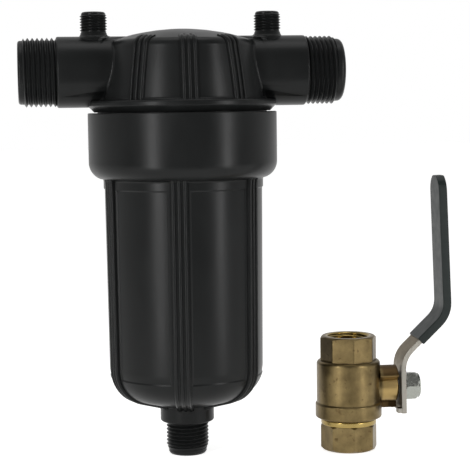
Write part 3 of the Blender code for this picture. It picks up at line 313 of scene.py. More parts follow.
def turned(name, outline, sides, solid=True):
    """Draw a ring up along an outline of (radius, height) in millimetres. A solid has filled ends."""
    outline = in_mm(outline)
    bpy.ops.object.select_all(action="DESELECT")
    bpy.ops.mesh.primitive_circle_add(vertices=sides, radius=outline[0][0], location=(0, 0, outline[0][1]),
                                      fill_type="NGON" if solid else "NOTHING")
    piece = named(name)
    bpy.ops.object.mode_set(mode="EDIT")
    bpy.ops.mesh.select_all(action="SELECT")
    stops = outline if solid else outline + outline[:1]
    for before, after in zip(stops, stops[1:]):
        bpy.ops.mesh.extrude_region_move(TRANSFORM_OT_translate={"value": (0, 0, after[1] - before[1])})
        ratio = after[0] / before[0]
        bpy.ops.transform.resize(value=(ratio, ratio, 1), center_override=(0, 0, 0))
    bpy.ops.mesh.select_all(action="SELECT")
    bpy.ops.mesh.remove_doubles(threshold=1e-6)
    close_form()
    return piece


print("one side of a collar 46 mm in radius:", round(math.tau * 46 / ROUND_SIDES, 2), "mm")

# %% [markdown]
# Ribs, bores, flats and tabs start as a rod or a block, which are given in millimetres too. A Boolean
# welds one form to another or cuts it out. Its exact solver is slower and keeps every edge clean.

# %% Helpers for rods, blocks and welds
def rod(name, radius, start, end, sides, place=None):
    """A plain solid rod, or a prism with few sides, from one height to another in millimetres."""
    start, end = start * MM, end * MM
    bpy.ops.object.select_all(action="DESELECT")
    bpy.ops.mesh.primitive_cylinder_add(vertices=sides, radius=radius * MM, depth=end - start,
                                        location=(0, 0, (start + end) / 2))
    return settle(named(name), place)


def block(name, low, high, place=None):
    """A plain box between two corners in millimetres."""
    low, high = (Vector([length * MM for length in corner]) for corner in (low, high))
    bpy.ops.object.select_all(action="DESELECT")
    bpy.ops.mesh.primitive_cube_add(size=1, location=(low + high) / 2)
    return settle(named(name, high - low), place)


def combine(piece, tool, operation="UNION"):
    """Weld a second form to a piece, or cut the piece with it. The second form is used up."""
    apply(piece, "BOOLEAN", operation=operation, object=tool, solver="EXACT")
    bpy.data.objects.remove(tool)


def merged(first, *others):
    """Several separate forms as one object, not yet welded."""
    only(first, *others)
    bpy.ops.object.join()
    return first


def copied(piece, place):
    """A copy of a form with its own mesh, put in another place."""
    twin = piece.copy()
    twin.data = piece.data.copy()
    bpy.context.collection.objects.link(twin)
    return settle(twin, place)


def copied_round(piece, turns):
    """Copies of a form at several turns in degrees about the upright line, and the first one gone."""
    twins = [copied(piece, Matrix.Rotation(math.radians(turn), 4, "Z")) for turn in turns]
    bpy.data.objects.remove(piece)
    return merged(*twins)


# %% [markdown]
# A finished piece is shaded smooth except at sharp edges. Its normals are weighted by area, so that long
# flat faces beside small rounded ones stay evenly lit. It then gets its material, the body that carries
# it, and the solids that it stands for.

# %% Helper to finish a piece
def finished(piece, body, slot, material, *replaced, angle=30):
    """Shade a piece, give it its material and say which body it rides on and which solids it replaces."""
    only(piece)
    bpy.ops.object.shade_smooth_by_angle(angle=math.radians(angle))
    apply(piece, "WEIGHTED_NORMAL", keep_sharp=True)
    piece.data.materials.clear()
    piece.data.materials.append(material)
    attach(piece, body)
    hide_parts(*replaced)
    print(piece.name, "faces:", len(piece.data.polygons))


# %% [markdown]
# Ribs, the lever and its sleeve keep one section along a bent line. They start as one filled face that
# stands square to the line. It is extruded to the next point, turned to face the way the line runs
# there, and resized where the form swells or closes. The line lies in the upright XZ plane.

# %% Helpers for swept forms
def facing(line):
    """The bearing of a line's first step, as a turn about Y."""
    return math.atan2(line[1][0] - line[0][0], line[1][1] - line[0][1])


def swept(piece, line, sizes=None):
    """Extrude a face that lies at the start of a line of (x, z) points, and keep it square to the line."""
    only(piece)
    bpy.ops.object.mode_set(mode="EDIT")
    bpy.ops.mesh.select_all(action="SELECT")
    points = [Vector(point) for point in line]
    bearings = [math.atan2(*(after - before)) for before, after in zip(points, points[1:])]
    bearing = bearings[0]
    size = (1.0, 1.0)
    for index in range(1, len(points)):
        step = points[index] - points[index - 1]
        bpy.ops.mesh.extrude_region_move(TRANSFORM_OT_translate={"value": (step.x, 0, step.y)})
        here = (points[index].x, 0, points[index].y)
        wanted = sum(bearings[index - 1:index + 1]) / len(bearings[index - 1:index + 1])
        if abs(wanted - bearing) > 1e-9:
            bpy.ops.transform.rotate(value=bearing - wanted, orient_axis="Y", orient_type="GLOBAL",
                                     center_override=here)
        bearing = wanted
        if sizes:
            ratio = (sizes[index][0] / size[0], sizes[index][1] / size[1])
            bpy.ops.transform.resize(value=(*ratio, 1), orient_type="GLOBAL",
                                     orient_matrix=Matrix.Rotation(bearing, 3, "Y"),
                                     orient_matrix_type="GLOBAL", center_override=here)
            size = sizes[index]
    close_form()
    return piece


# %% [markdown]
# A pipe thread is one ridge that climbs round the pipe. Its section is a triangle with a rounded
# crest, 0.64 of its pitch deep, as the pipe standard has it. The Screw modifier sweeps that section
# round and up, and the ends are filled. An envelope with a sloped lead then trims the coil where the
# die ran in. The trimmed coil is joined to its core, or cut out of a bore to make a nut thread.

# %% Helpers for screw threads
INCH = (16.625, 2.309)
HALF_INCH = (10.478, 1.814)
QUARTER_INCH = (6.58, 1.337)
PIPE_THREAD_DEPTH = 0.64
THREAD_START = math.radians(1.3)
FOOT_HALF, CREST_HALF = 0.47, 0.10
FOOT_SINK, CREST_DROP = 0.3, 0.14


def coil(name, radius, pitch, depth, turns, sides):
    """A thread's ridge along +Z from height 0, with its crest at the radius."""
    root, foot, shoulder = radius - depth, radius - (1 + FOOT_SINK) * depth, radius - CREST_DROP * depth
    section = [(foot, -FOOT_HALF), (root, -FOOT_HALF), (shoulder, -CREST_HALF), (radius, 0.0),
               (shoulder, CREST_HALF), (root, FOOT_HALF), (foot, FOOT_HALF)]
    mesh = bpy.data.meshes.new(name)
    points = [(across, 0, height * pitch) for across, height in section]
    mesh.from_pydata(points, [(i, (i + 1) % len(points)) for i in range(len(points))], [])
    ridge = bpy.data.objects.new(name, mesh)
    bpy.context.collection.objects.link(ridge)
    apply(ridge, "SCREW", axis="Z", angle=math.tau, screw_offset=pitch, iterations=turns, steps=sides,
          render_steps=sides, use_merge_vertices=False)
    bpy.ops.object.mode_set(mode="EDIT")
    bpy.ops.mesh.select_mode(type="VERT")
    bpy.ops.mesh.select_all(action="SELECT")
    bpy.ops.mesh.remove_doubles(threshold=1e-7)
    bpy.ops.mesh.select_all(action="DESELECT")
    bpy.ops.mesh.select_non_manifold()
    bpy.ops.mesh.fill_holes(sides=0)
    close_form()
    return ridge


def thread_ridge(name, thread, length, lead, run_out, sides, depth=None):
    """A thread from height 0 up to its end face, trimmed by a lead cone there and a run-out below.

    The thread is its radius and pitch. These and the lengths are in millimetres.
    """
    radius, pitch = thread
    depth = depth or PIPE_THREAD_DEPTH * pitch
    ridge = coil(name, radius * MM, pitch * MM, depth * MM, math.ceil(length / pitch) + 2, sides)
    settle(ridge, Matrix.Translation((0, 0, -pitch * MM)) @ Matrix.Rotation(THREAD_START, 4, "Z"))
    core, root, clear = radius - 1.2 * depth, radius - depth, radius + depth
    envelope = turned(name + "_envelope", [(core, 0), (root, 0), (clear, run_out), (clear, length - 2 * lead),
                                           (root, length), (core, length)], sides, solid=False)
    combine(ridge, envelope, "INTERSECT")
    return ridge


print("one inch thread depth:", round(PIPE_THREAD_DEPTH * INCH[1], 2), "mm")

# %% [markdown]
# ## Surfaces
# Every surface is built from nodes that work on Object coordinates, so its grain has a real size in
# millimetres. One helper starts a material. Another makes the uneven value that most finishes need: a
# noise of a given grain, spread over a range. A bump takes the noise as it is, from RAW limits.

# %% Helpers for surfaces
def new_material(name, base, roughness, metallic=0.0, specular=0.5):
    """A material with its Principled shader, and Object coordinates to build patterns on."""
    material = bpy.data.materials.new(name)
    material.use_nodes = True
    tree = material.node_tree
    tree.nodes.clear()
    shader = add_node(tree, "ShaderNodeBsdfPrincipled", Base_Color=colour(base), Roughness=roughness,
                      Metallic=metallic, Specular_IOR_Level=specular)
    add_node(tree, "ShaderNodeOutputMaterial", Surface=shader)
    print("material:", name)
    return material, tree, shader, add_node(tree, "ShaderNodeTexCoord").outputs["Object"]


def grain(tree, place, size_mm, low, high, start=0.3, end=0.7, detail=2.0, stretch=(1, 1, 1)):
    """A value from low to high that changes every few millimetres, and more slowly where stretch is small.

    It comes from the part of a noise that lies between start and end.
    """
    scaled = add_node(tree, "ShaderNodeMapping", Vector=place, Scale=stretch)
    noise = add_node(tree, "ShaderNodeTexNoise", Vector=scaled, Scale=1000 / size_mm, Detail=detail,
                     Roughness=0.55)
    return add_node(tree, "ShaderNodeMapRange", Value=noise, From_Min=start, From_Max=end,
                    To_Min=low, To_Max=high)


RAW = (0.0, 1.0, 0.0, 1.0)
COLOURS = {"data_type": "RGBA"}

# %% [markdown]
# The black parts are nylon with glass fibre, moulded in a spark-eroded tool. Such plastic is a very
# dark grey with a satin skin: broad soft highlights and a low mirror share, and a grain of a few tenths
# of a millimetre. A slow change in its sheen shows where the plastic flowed and cooled.

# %% Glass-filled nylon
moulded_nylon, tree, shader, place = new_material("moulded_glass_filled_nylon", "#161717", 0.36,
                                                  specular=0.14)
FLOW_SIZE, FLOW_STRETCH = 22.0, (1, 1, 0.4)
flow = grain(tree, place, FLOW_SIZE, 0.0, 1.0, stretch=FLOW_STRETCH)
shade = add_node(tree, "ShaderNodeMix", COLOURS, _0=flow, _6=colour("#141515"), _7=colour("#1a1b1b"))
sheen = grain(tree, place, FLOW_SIZE, 0.29, 0.36, stretch=FLOW_STRETCH)
skin = grain(tree, place, 0.35, *RAW, detail=3.0)
bump = add_node(tree, "ShaderNodeBump", Height=skin, Distance=0.02 * MM, Strength=0.35)
tree.links.new(shade.outputs[2], shader.inputs["Base Color"])
tree.links.new(sheen.outputs[0], shader.inputs["Roughness"])
tree.links.new(bump.outputs[0], shader.inputs["Normal"])

# %% [markdown]
# The valve is forged brass, shot blasted and then turned where it has to seal. The colour is a dull
# yellow brown that has tarnished unevenly, with a few brown spots, and the blasting leaves fine pits.

# %% Forged brass: the blasted skin
PIT_SIZE = 0.5
cast_brass, tree, shader, place = new_material("blasted_forged_brass", "#7c6c4a", 0.36, metallic=1.0)
patches = grain(tree, place, 7.0, 0.0, 1.0, detail=4.0)
tone = add_node(tree, "ShaderNodeMix", COLOURS, _0=patches, _6=colour("#5a4d33"), _7=colour("#786847"))
spots = grain(tree, place, 3.2, 0.0, 0.75, start=0.62, end=0.74)
stained = add_node(tree, "ShaderNodeMix", COLOURS, _0=spots, _6=tone.outputs[2], _7=colour("#463620"))
pits = grain(tree, place, PIT_SIZE, *RAW, detail=3.0)
bump = add_node(tree, "ShaderNodeBump", Height=pits, Distance=0.05 * MM, Strength=0.45)
tree.links.new(bump.outputs[0], shader.inputs["Normal"])

# %% [markdown]
# The boss stands out sideways, so it is found by how far a point lies out along X. There a painted highlight
# brightens the brass round the stem's height, and painted shade darkens the lugs above and below it.

# %% Forged brass: painted highlight on the boss, painted shade on its lugs
BOSS_NEAR, BOSS_FAR = STEM_POINT.x + 15.2 * MM, STEM_POINT.x + 16.5 * MM
HIGHLIGHT_HALF, LUG_SHADE_HALF = 5.6 * MM, 7.4 * MM
where = add_node(tree, "ShaderNodeSeparateXYZ", Vector=place)
across, height = where.outputs[0], where.outputs[2]
on_boss = add_node(tree, "ShaderNodeMapRange", Value=across, From_Min=BOSS_NEAR, From_Max=BOSS_FAR,
                   To_Max=0.8)
above = add_node(tree, "ShaderNodeMath", {"operation": "SUBTRACT"}, _0=height, _1=STEM_POINT.z)
above = add_node(tree, "ShaderNodeMath", {"operation": "ABSOLUTE"}, _0=above)
painted_lug_shade = add_node(tree, "ShaderNodeMapRange", Value=above, From_Min=HIGHLIGHT_HALF, From_Max=LUG_SHADE_HALF)
# The boss's bright colour is a painted highlight, and the lugs' dark brown is painted shade.
boss_highlight_and_lug_shade = add_node(tree, "ShaderNodeMix", COLOURS, _0=painted_lug_shade, _6=colour("#a08858"), _7=colour("#46341f"))
forged = add_node(tree, "ShaderNodeMix", COLOURS, _0=on_boss, _6=stained.outputs[2], _7=boss_highlight_and_lug_shade.outputs[2])
print("the boss begins", round((BOSS_NEAR - STEM_POINT.x) / MM, 1), "mm from the valve's axis")

# %% [markdown]
# What is cut after blasting is brighter and smoother: the turned ring between the two pieces, which is found
# by its height, and the threaded bores, which are found by their distance from the valve's axis. Inside the
# bores the brighter colour is also painted light, which lifts them out of their shade.

# %% Forged brass: the turned places, and painted light in the bores
RING_START, RING_FULL, RING_FADE, RING_END = 12.6 * MM, 13.0 * MM, 16.0 * MM, 16.3 * MM
BORE_FULL, BORE_END = 11.0 * MM, 11.6 * MM
over = add_node(tree, "ShaderNodeMapRange", Value=height, From_Min=RING_START, From_Max=RING_FULL)
under = add_node(tree, "ShaderNodeMapRange", Value=height, From_Min=RING_END, From_Max=RING_FADE)
ring = add_node(tree, "ShaderNodeMath", {"operation": "MULTIPLY"}, _0=over, _1=under)
level = add_node(tree, "ShaderNodeVectorMath", {"operation": "MULTIPLY"}, _0=place, _1=(1, 1, 0))
from_axis = add_node(tree, "ShaderNodeVectorMath", {"operation": "DISTANCE"}, _0=level,
                     _1=(STEM_POINT.x, STEM_POINT.y, 0))
# Inside the bores the brighter colour is partly the turned brass and partly painted light.
bored_and_painted_light = add_node(tree, "ShaderNodeMapRange", Value=from_axis.outputs[1], From_Min=BORE_END,
                 From_Max=BORE_FULL)
cut_and_painted_light = add_node(tree, "ShaderNodeMath", {"operation": "MAXIMUM"}, _0=ring, _1=bored_and_painted_light)
brass = add_node(tree, "ShaderNodeMix", COLOURS, _0=cut_and_painted_light, _6=forged.outputs[2], _7=colour("#96824f"))
sheen = add_node(tree, "ShaderNodeMapRange", Value=cut_and_painted_light, To_Max=0.26,
                 To_Min=grain(tree, place, PIT_SIZE, 0.30, 0.44, detail=3.0))
tree.links.new(brass.outputs[2], shader.inputs["Base Color"])
tree.links.new(sheen.outputs[0], shader.inputs["Roughness"])
print("nodes in the brass:", len(tree.nodes))

# %% [markdown]
# The lever is pressed steel with a thin zinc coat that has gone dull and a little brown. It was rolled
# along its length, so faint lines run up the plate, and its sheared edges, which face sideways, are
# brighter.

# %% Dull zinc coat
ROLLED_SIZE, ROLLED_STRETCH = 0.5, (1, 1, 0.06)
lever_steel, tree, shader, place = new_material("dull_zinc_coated_steel", "#a79d8c", 0.42, metallic=1.0)
stains = grain(tree, place, 5.0, 0.0, 1.0, detail=4.0)
dull = add_node(tree, "ShaderNodeMix", COLOURS, _0=stains, _6=colour("#635742"), _7=colour("#7b6f59"))
facings = add_node(tree, "ShaderNodeTexCoord").outputs["Normal"]
sideways = add_node(tree, "ShaderNodeSeparateXYZ", Vector=facings).outputs[1]
sideways = add_node(tree, "ShaderNodeMath", {"operation": "ABSOLUTE"}, _0=sideways)
sheared = add_node(tree, "ShaderNodeMapRange", Value=sideways, From_Min=0.55, From_Max=0.8)
tone = add_node(tree, "ShaderNodeMix", COLOURS, _0=sheared, _6=dull.outputs[2], _7=colour("#96928a"))
sheen = grain(tree, place, ROLLED_SIZE, 0.34, 0.5, stretch=ROLLED_STRETCH)
lines = grain(tree, place, ROLLED_SIZE, *RAW, stretch=ROLLED_STRETCH)
bump = add_node(tree, "ShaderNodeBump", Height=lines, Distance=0.02 * MM, Strength=0.4)
tree.links.new(tone.outputs[2], shader.inputs["Base Color"])
tree.links.new(sheen.outputs[0], shader.inputs["Roughness"])
tree.links.new(bump.outputs[0], shader.inputs["Normal"])

# %% [markdown]
# The nut has a bright zinc plate, the stem is turned stainless steel, and the ball is ground and then
# chromed hard, which gives it the clearest mirror of all. The first two vary a little in sheen from
# one millimetre to the next.

# %% Bright plate, turned steel and chrome
zinc_plate, tree, shader, place = new_material("bright_zinc_plate", "#93958f", 0.24, metallic=1.0)
tree.links.new(grain(tree, place, 2.0, 0.2, 0.32).outputs[0], shader.inputs["Roughness"])
turned_steel, tree, shader, place = new_material("turned_stainless_stem", "#b4b4b0", 0.28, metallic=1.0)
tree.links.new(grain(tree, place, 1.0, 0.22, 0.34).outputs[0], shader.inputs["Roughness"])
hard_chrome = new_material("hard_chrome", "#d2d4d4", 0.08, metallic=1.0)[0]

# %% [markdown]
# The sleeve is soft vinyl, a very dark green with a low sheen. Dipping leaves it slightly uneven, in
# waves a few millimetres long.

# %% Dipped vinyl
WAVE_SIZE = 4.0
dipped_vinyl, tree, shader, place = new_material("dipped_green_vinyl", "#0b1513", 0.42, specular=0.31)
bump = add_node(tree, "ShaderNodeBump", Height=grain(tree, place, WAVE_SIZE, *RAW), Distance=0.05 * MM,
                Strength=0.4)
tree.links.new(grain(tree, place, WAVE_SIZE, 0.38, 0.48).outputs[0], shader.inputs["Roughness"])
tree.links.new(bump.outputs[0], shader.inputs["Normal"])

# %% [markdown]
# Inside are a pale grey cartridge of polypropylene, black nitrile rings and white seals of PTFE. The
# plastics are moulded or turned, with a slight change of sheen, and the rubber has a fine matt grain.

# %% Cartridge plastic, seals and rubber
cartridge_plastic, tree, shader, place = new_material("grey_polypropylene", "#c9ccc8", 0.45)
tree.links.new(grain(tree, place, 1.5, 0.4, 0.5).outputs[0], shader.inputs["Roughness"])
white_ptfe, tree, shader, place = new_material("white_ptfe", "#f0efe9", 0.5)
tree.links.new(grain(tree, place, 1.5, 0.45, 0.55).outputs[0], shader.inputs["Roughness"])
seal_rubber, tree, shader, place = new_material("nitrile_rubber", "#141414", 0.55, specular=0.4)
bump = add_node(tree, "ShaderNodeBump", Height=grain(tree, place, 0.4, *RAW), Distance=0.02 * MM,
                Strength=0.4)
tree.links.new(bump.outputs[0], shader.inputs["Normal"])

# %% [markdown]
# The screen is a sheet of woven stainless wire. Its real openings are about 0.13 mm, too fine to show,
# so the weave is drawn at about 0.79 mm, as two crossed waves whose product darkens the openings. A
# wave texture repeats every tau / 20 of its scaled coordinate.

# %% Woven screen
DRAWN_WEAVE = 0.78957 * MM
WAVE_REPEAT = math.tau / 20
screen_steel, tree, shader, place = new_material("woven_stainless_mesh", "#b9bab6", 0.38, metallic=1.0)
wires = [add_node(tree, "ShaderNodeTexWave", {"wave_type": "BANDS", "bands_direction": way}, Vector=place,
                  Scale=WAVE_REPEAT / DRAWN_WEAVE).outputs[1] for way in ("Z", "X")]
weave = add_node(tree, "ShaderNodeMath", {"operation": "MULTIPLY"}, _0=wires[0], _1=wires[1])
steel = add_node(tree, "ShaderNodeMix", COLOURS, _0=weave, _6=colour("#5c5d5b"), _7=colour("#cfd0cc"))
tree.links.new(steel.outputs[2], shader.inputs["Base Color"])
print("materials:", len(bpy.data.materials))

# %% [markdown]
# ## The bowl
# The bowl is one nylon moulding: a wide collar with a soft underside, a slightly tapered wall, a round
# bottom corner and the threaded drain nipple. All of it is round, so one outline is drawn up in a turn.
# The outline starts inside the drain, runs up the outside and comes back down the inside. Its numbers
# are radius and height in millimetres.

# %% Bowl: turn the wall
BOWL_TURN = math.radians(-98.8)
CORNER, CORNER_RADIUS = (20.9, 44.885), 17.5
WALL = 3.6
outside = ([(7.4, 0), (8.8, 0), (9.42, 0.9), (9.42, 15.4), (10.6, 16.3), (12.1, 16.3)]
           + arc((12.3, 17.3), 1.0, -70, 0, 4) + arc((14.1, 23.9), 0.8, 180, 106, 4)
           + arc(CORNER, CORNER_RADIUS, -74, -16, 9) + arc(CORNER, CORNER_RADIUS, -10, 0, 2)
           + [(39.07, 132.4), (39.1, 135.6)] + arc((40.1, 135.9), 1.0, 180, 118, 3)
           + arc((37.6, 144.885), 8.5, -66, 0, 10)
           + arc((45.5, 168.285), 0.6, 0, 90, 4))
inside = (arc((42.2, 168.285), 0.6, 90, 180, 3) + [(41.6, 146.485), (35.5, 146.485)]
          + arc(CORNER, CORNER_RADIUS - WALL, 0, -74, 8)
          + [(20.3, 30.252), (20.3, 36.607), (17.3, 36.607), (17.3, 30.107), (7.0, 30.107), (7.0, 0.4)])
bowl = turned("moulded_bowl", outside + inside, ROUND_SIDES, solid=False)
print("bowl rings:", len(outside + inside))

# %% [markdown]
# Between the rib groups the wall is sunk by half a millimetre, which keeps the thick plastic even.
# The faces of each panel are chosen by their place, and inset with a small slope down to the panel.

# %% Bowl: sink the panels
RIB_GROUPS = 6
GROUP_TURN = 360 / RIB_GROUPS
PANEL_LOW, PANEL_HIGH = 39.9 * MM, 132.5 * MM
PANEL_HALF_TURN = 21.4
PANEL_REACH = 36.5 * MM
PANEL_SLOPE, PANEL_DEPTH = 0.7 * MM, 0.5 * MM


def on_panel(face):
    """Whether a face of the wall lies between two rib groups."""
    centre = face.center
    bearing = math.degrees(math.atan2(centre.y, centre.x)) % GROUP_TURN
    return (PANEL_LOW < centre.z < PANEL_HIGH and centre.xy.length > PANEL_REACH
            and abs(bearing - GROUP_TURN / 2) < PANEL_HALF_TURN)


faces = bowl.data.polygons
choose(bowl, faces, [face.index for face in faces if on_panel(face)], "FACE")
bpy.ops.mesh.inset(thickness=PANEL_SLOPE, depth=-PANEL_DEPTH, use_even_offset=True)
bpy.ops.object.mode_set(mode="OBJECT")

# %% [markdown]
# Ribs stiffen both mouldings. A rib group is three fine beads side by side on a low pad. A bead is a
# small round face that is swept along the wall's outline, and on the head it tapers away at its end.
# The pad is a flat face swept the same way. One group is made, copied round, and welded on.

# %% Helpers for ribs
BEAD_PITCH = 2.75 * MM
BEAD_RADIUS = 1.0 * MM
BEAD_LIFT = 0.3 * MM
PAD_HALF_WIDTH, PAD_HALF_THICKNESS = 4.15 * MM, 0.45 * MM
CAP_SIZES = (0.92, 0.7, 0.25)


def bead(name, line, side, capped):
    """One round ridge along a line, lifted outwards, whose far end may close to a cap."""
    bpy.ops.mesh.primitive_circle_add(vertices=12, radius=BEAD_RADIUS, fill_type="NGON",
                                      location=(line[0][0] + BEAD_LIFT, side, line[0][1]),
                                      rotation=(0, facing(line), 0))
    caps = CAP_SIZES if capped else ()
    sizes = [(1.0, 1.0)] * (len(line) - len(caps)) + [(cap, cap) for cap in caps]
    return swept(named(name), [(x + BEAD_LIFT, z) for x, z in line], sizes)


def rib_group(name, line, capped):
    """Three beads on a low flat pad, as one form. The line is in millimetres."""
    line = in_mm(line)
    beads = [bead(name + "_bead", line, side * BEAD_PITCH, capped) for side in (-1, 0, 1)]
    bpy.ops.mesh.primitive_plane_add(size=2, location=(line[0][0], 0, line[0][1]),
                                     rotation=(0, facing(line), 0))
    pad = swept(named(name + "_pad", (PAD_HALF_THICKNESS, PAD_HALF_WIDTH, 1)), line)
    for part in beads:
        combine(pad, part)
    print(name, "faces:", len(pad.data.polygons))
    return pad


# %% [markdown]
# On the bowl the ribs run up from the drain's shoulder, round the corner and up the wall, and end on
# the soft underside of the collar. Six groups stand 60 degrees apart.

# %% Bowl: sweep the ribs
BOWL_RIB_LINE = ([(11.9, 23.3), (14.6, 24.9)] + arc(CORNER, CORNER_RADIUS, -73, 0, 12)
                 + [(38.6, 70), (38.85, 100), (39.1, 132), (39.3, 136.4), (40.2, 138.2), (41.2, 139.2)])
bowl_turns = [GROUP_TURN * index for index in range(RIB_GROUPS)]
combine(bowl, copied_round(rib_group("bowl_rib", BOWL_RIB_LINE, capped=False), bowl_turns))
print("bowl with ribs:", len(bowl.data.polygons))

# %% [markdown]
# The drain nipple carries a half inch pipe thread, 1.814 mm a turn. It starts full under the shoulder
# and runs out in a long lead at the tip, so that the valve finds it easily. The ridge is a closed form
# that sinks into the nipple's wall, so it is joined and needs no Boolean.

# %% Bowl: add the drain's thread
DRAIN_THREAD_TOP = 16.0 * MM
UPSIDE_DOWN = Matrix.Rotation(math.pi, 4, "X")
ridge = thread_ridge("drain_ridge", HALF_INCH, 14.4, 3.2, 0.8, SMALL_SIDES)
merged(bowl, settle(ridge, Matrix.Translation((0, 0, DRAIN_THREAD_TOP)) @ UPSIDE_DOWN))
settle(bowl, FILTER_PLACE @ Matrix.Rotation(BOWL_TURN, 4, "Z"))
finished(bowl, "base", "housing_nylon", moulded_nylon, "bowl", angle=32)

# %% [markdown]
# ## The head
# The head is the other big moulding. Its round body is turned like the bowl: skirt, flange, bell and a
# shallow dome. The cross pipe is turned too and laid on its side, and the two pressure ports stand on
# it. All of them are welded with exact Booleans, as the mould would fill them in one shot.

# %% Head: turn the body
BELL_LINE = ([(40.5, 174.785), (39.64, 180.9), (38.65, 187.0), (37.5, 193.2)]
             + arc((31.4, 199.285), 4.8, 0, 71.6, 8))
DOME_LINE = [(28.0, 205.35), (24.0, 206.43), (19.97, 207.24), (13.36, 208.31), (6.69, 208.96), (1.0, 209.16)]
skirt = ([(39.9, 149.085), (40.2, 149.5), (40.2, 168.0), (41.3, 168.6), (41.3, 169.185), (42.9, 169.185),
          (45.3, 171.6)] + arc((45.2, 172.5), 0.8, -40, 0, 3) + arc((44.8, 173.585), 1.2, 0, 90, 6)
         + arc((42.3, 176.485), 1.7, -90, -160, 5))
head = turned("moulded_head", skirt + BELL_LINE + DOME_LINE, ROUND_SIDES)
print("head rings:", len(skirt + BELL_LINE + DOME_LINE))

# %% [markdown]
# The pipe is a plain tube with a turned-down length at each end for the one inch thread. Its outline is
# drawn up along Z and laid along X. The ports have a flared root, a quarter inch thread and a blunt tip.

# %% Head: weld on the pipe and the ports
PIPE_RISE = 188.685
PIPE_RADIUS = 17.1
PORT_OFFSET = 42.4 * MM
LIFT_PIPE = Matrix.Translation((0, 0, PIPE_RISE * MM))
PORT_PLACES = [LIFT_PIPE @ Matrix.Translation((side * PORT_OFFSET, 0, 0)) for side in (-1, 1)]
SHOULDER = PIPE_RADIUS - 1.0
left_end = arc((14.1, -77.8), 1.2, 270, 360, 4) + [(15.3, -60.9)] + arc((SHOULDER, -59.7), 1.0, -60, 0, 3)
right_end = arc((SHOULDER, 59.7), 1.0, 0, 60, 3) + [(15.3, 60.9)] + arc((12.8, 76.5), 2.5, 0, 90, 7)
pipe = settle(turned("cross_pipe", left_end + right_end, PIPE_SIDES), LIFT_PIPE @ ALONG_X)
port_outline = ([(8.6, 13.5), (8.2, 15.4)] + arc((8.9, 18.9), 2.6, 240, 186, 6)
                + [(5.82, 19.5), (5.82, 28.1), (5.2, 28.7), (4.6, 28.8)])
port = turned("pressure_port", port_outline, SMALL_SIDES)
ports = [copied(port, place) for place in PORT_PLACES]
bpy.data.objects.remove(port)
for part in (pipe, *ports):
    combine(head, part)
print("head with pipe and ports:", len(head.data.polygons))

# %% [markdown]
# Where the bell meets the pipe, the mould has a small rounded corner that catches the light. The seam's
# edges are the ones between a face of the bell and a face of the pipe, and they get a bevel.

# %% Head: round the seams
SEAM_SLACK = 0.12 * MM
SEAM_NEAR, SEAM_FAR = 30 * MM, 42 * MM
SEAM_BEND = math.radians(25)
SEAM_BEVEL = 1.1 * MM


mesh = head.data


def on_seam(edge, beside):
    """Whether an edge lies inside a corner between the bell and the pipe."""
    ends = [mesh.vertices[index].co for index in edge.vertices]
    middle = (ends[0] + ends[1]) / 2
    reach = Vector((middle.y, middle.z - PIPE_RISE * MM)).length
    if abs(reach - PIPE_RADIUS * MM) > SEAM_SLACK or not SEAM_NEAR < middle.xy.length < SEAM_FAR:
        return False
    normals = [mesh.polygons[index].normal for index in beside]
    return len(normals) == 2 and normals[0].angle(normals[1]) > SEAM_BEND


faces_of = {edge.key: [] for edge in mesh.edges}
for face in mesh.polygons:
    for key in face.edge_keys:
        faces_of[key].append(face.index)
choose(head, mesh.edges, [edge.index for edge in mesh.edges if on_seam(edge, faces_of[edge.key])], "EDGE")
bpy.ops.mesh.bevel(offset=SEAM_BEVEL, segments=3, profile=0.5, affect="EDGES", clamp_overlap=False)
bpy.ops.object.mode_set(mode="OBJECT")
print("head with round seams:", len(head.data.polygons))

# %% [markdown]
# The same ribs climb the bell, and their beads close in round caps at the edge of the dome. Three
# groups stand in front and three behind, 37 degrees apart, so that none of them meets the pipe.

# %% Head: sweep the ribs
HEAD_RIB_TURNS = (-127, -90, -53, 53, 90, 127)
HEAD_RIB_LINE = [(40.9, 172.6)] + BELL_LINE + [(31.6, 204.24), (30.6, 204.57), (30.0, 204.77), (29.6, 204.9)]
combine(head, copied_round(rib_group("head_rib", HEAD_RIB_LINE, capped=True), HEAD_RIB_TURNS))
print("head with ribs:", len(head.data.polygons))

# %% [markdown]
# Inside, the water comes in from the left through a tube, goes down the spigot into the screen, out
# through the mesh, and up round the spigot to the right pipe end. The mould's cores leave these rooms:
# the wide space under the bell, less the spigot and the inlet tube, and a straight bore for each way.

# %% Head: cut the waterways
PIPE_BORE, SPIGOT_BORE, PORT_BORE = 12.5, 12.2, 3.4
SPIGOT_OUTSIDE, INLET_TUBE = 15.2, 14.8
hollow_outline = [(36.9, 148.0), (36.9, 174.785), (35.05, 187.035), (32.6, 199.285), (31.78, 200.42),
                  (23.57, 202.77), (SPIGOT_OUTSIDE, 204.42), (SPIGOT_OUTSIDE, 156.685)]
hollow = turned("head_hollow", hollow_outline, PIPE_SIDES)
combine(hollow, rod("inlet_tube", INLET_TUBE, -42, 0, PIPE_SIDES, LIFT_PIPE @ ALONG_X), "DIFFERENCE")
cores = [hollow, rod("inlet_bore", PIPE_BORE, -80, 4, PIPE_SIDES, LIFT_PIPE @ ALONG_X),
         rod("outlet_bore", PIPE_BORE, 15.6, 80, PIPE_SIDES, LIFT_PIPE @ ALONG_X),
         rod("spigot_bore", SPIGOT_BORE, 153.7, PIPE_RISE + 4, SMALL_SIDES)]
cores += [rod("port_bore", PORT_BORE, 0, 25.8, SMALL_SIDES, place) for place in PORT_PLACES]
for core in cores:
    combine(head, core, "DIFFERENCE")
print("head with its waterways:", len(head.data.polygons))

# %% [markdown]
# Both pipe ends carry a one inch pipe thread, 2.309 mm a turn, and both ports a quarter inch one. The
# right end has the longer smooth lead, as the photograph shows. The skirt has the coarse thread that
# holds the bowl, 5 mm a turn. Every ridge is a closed form that sinks into the wall below it, so the
# ridges are joined to the head and need no Boolean, which keeps the shallow grooves crisp.

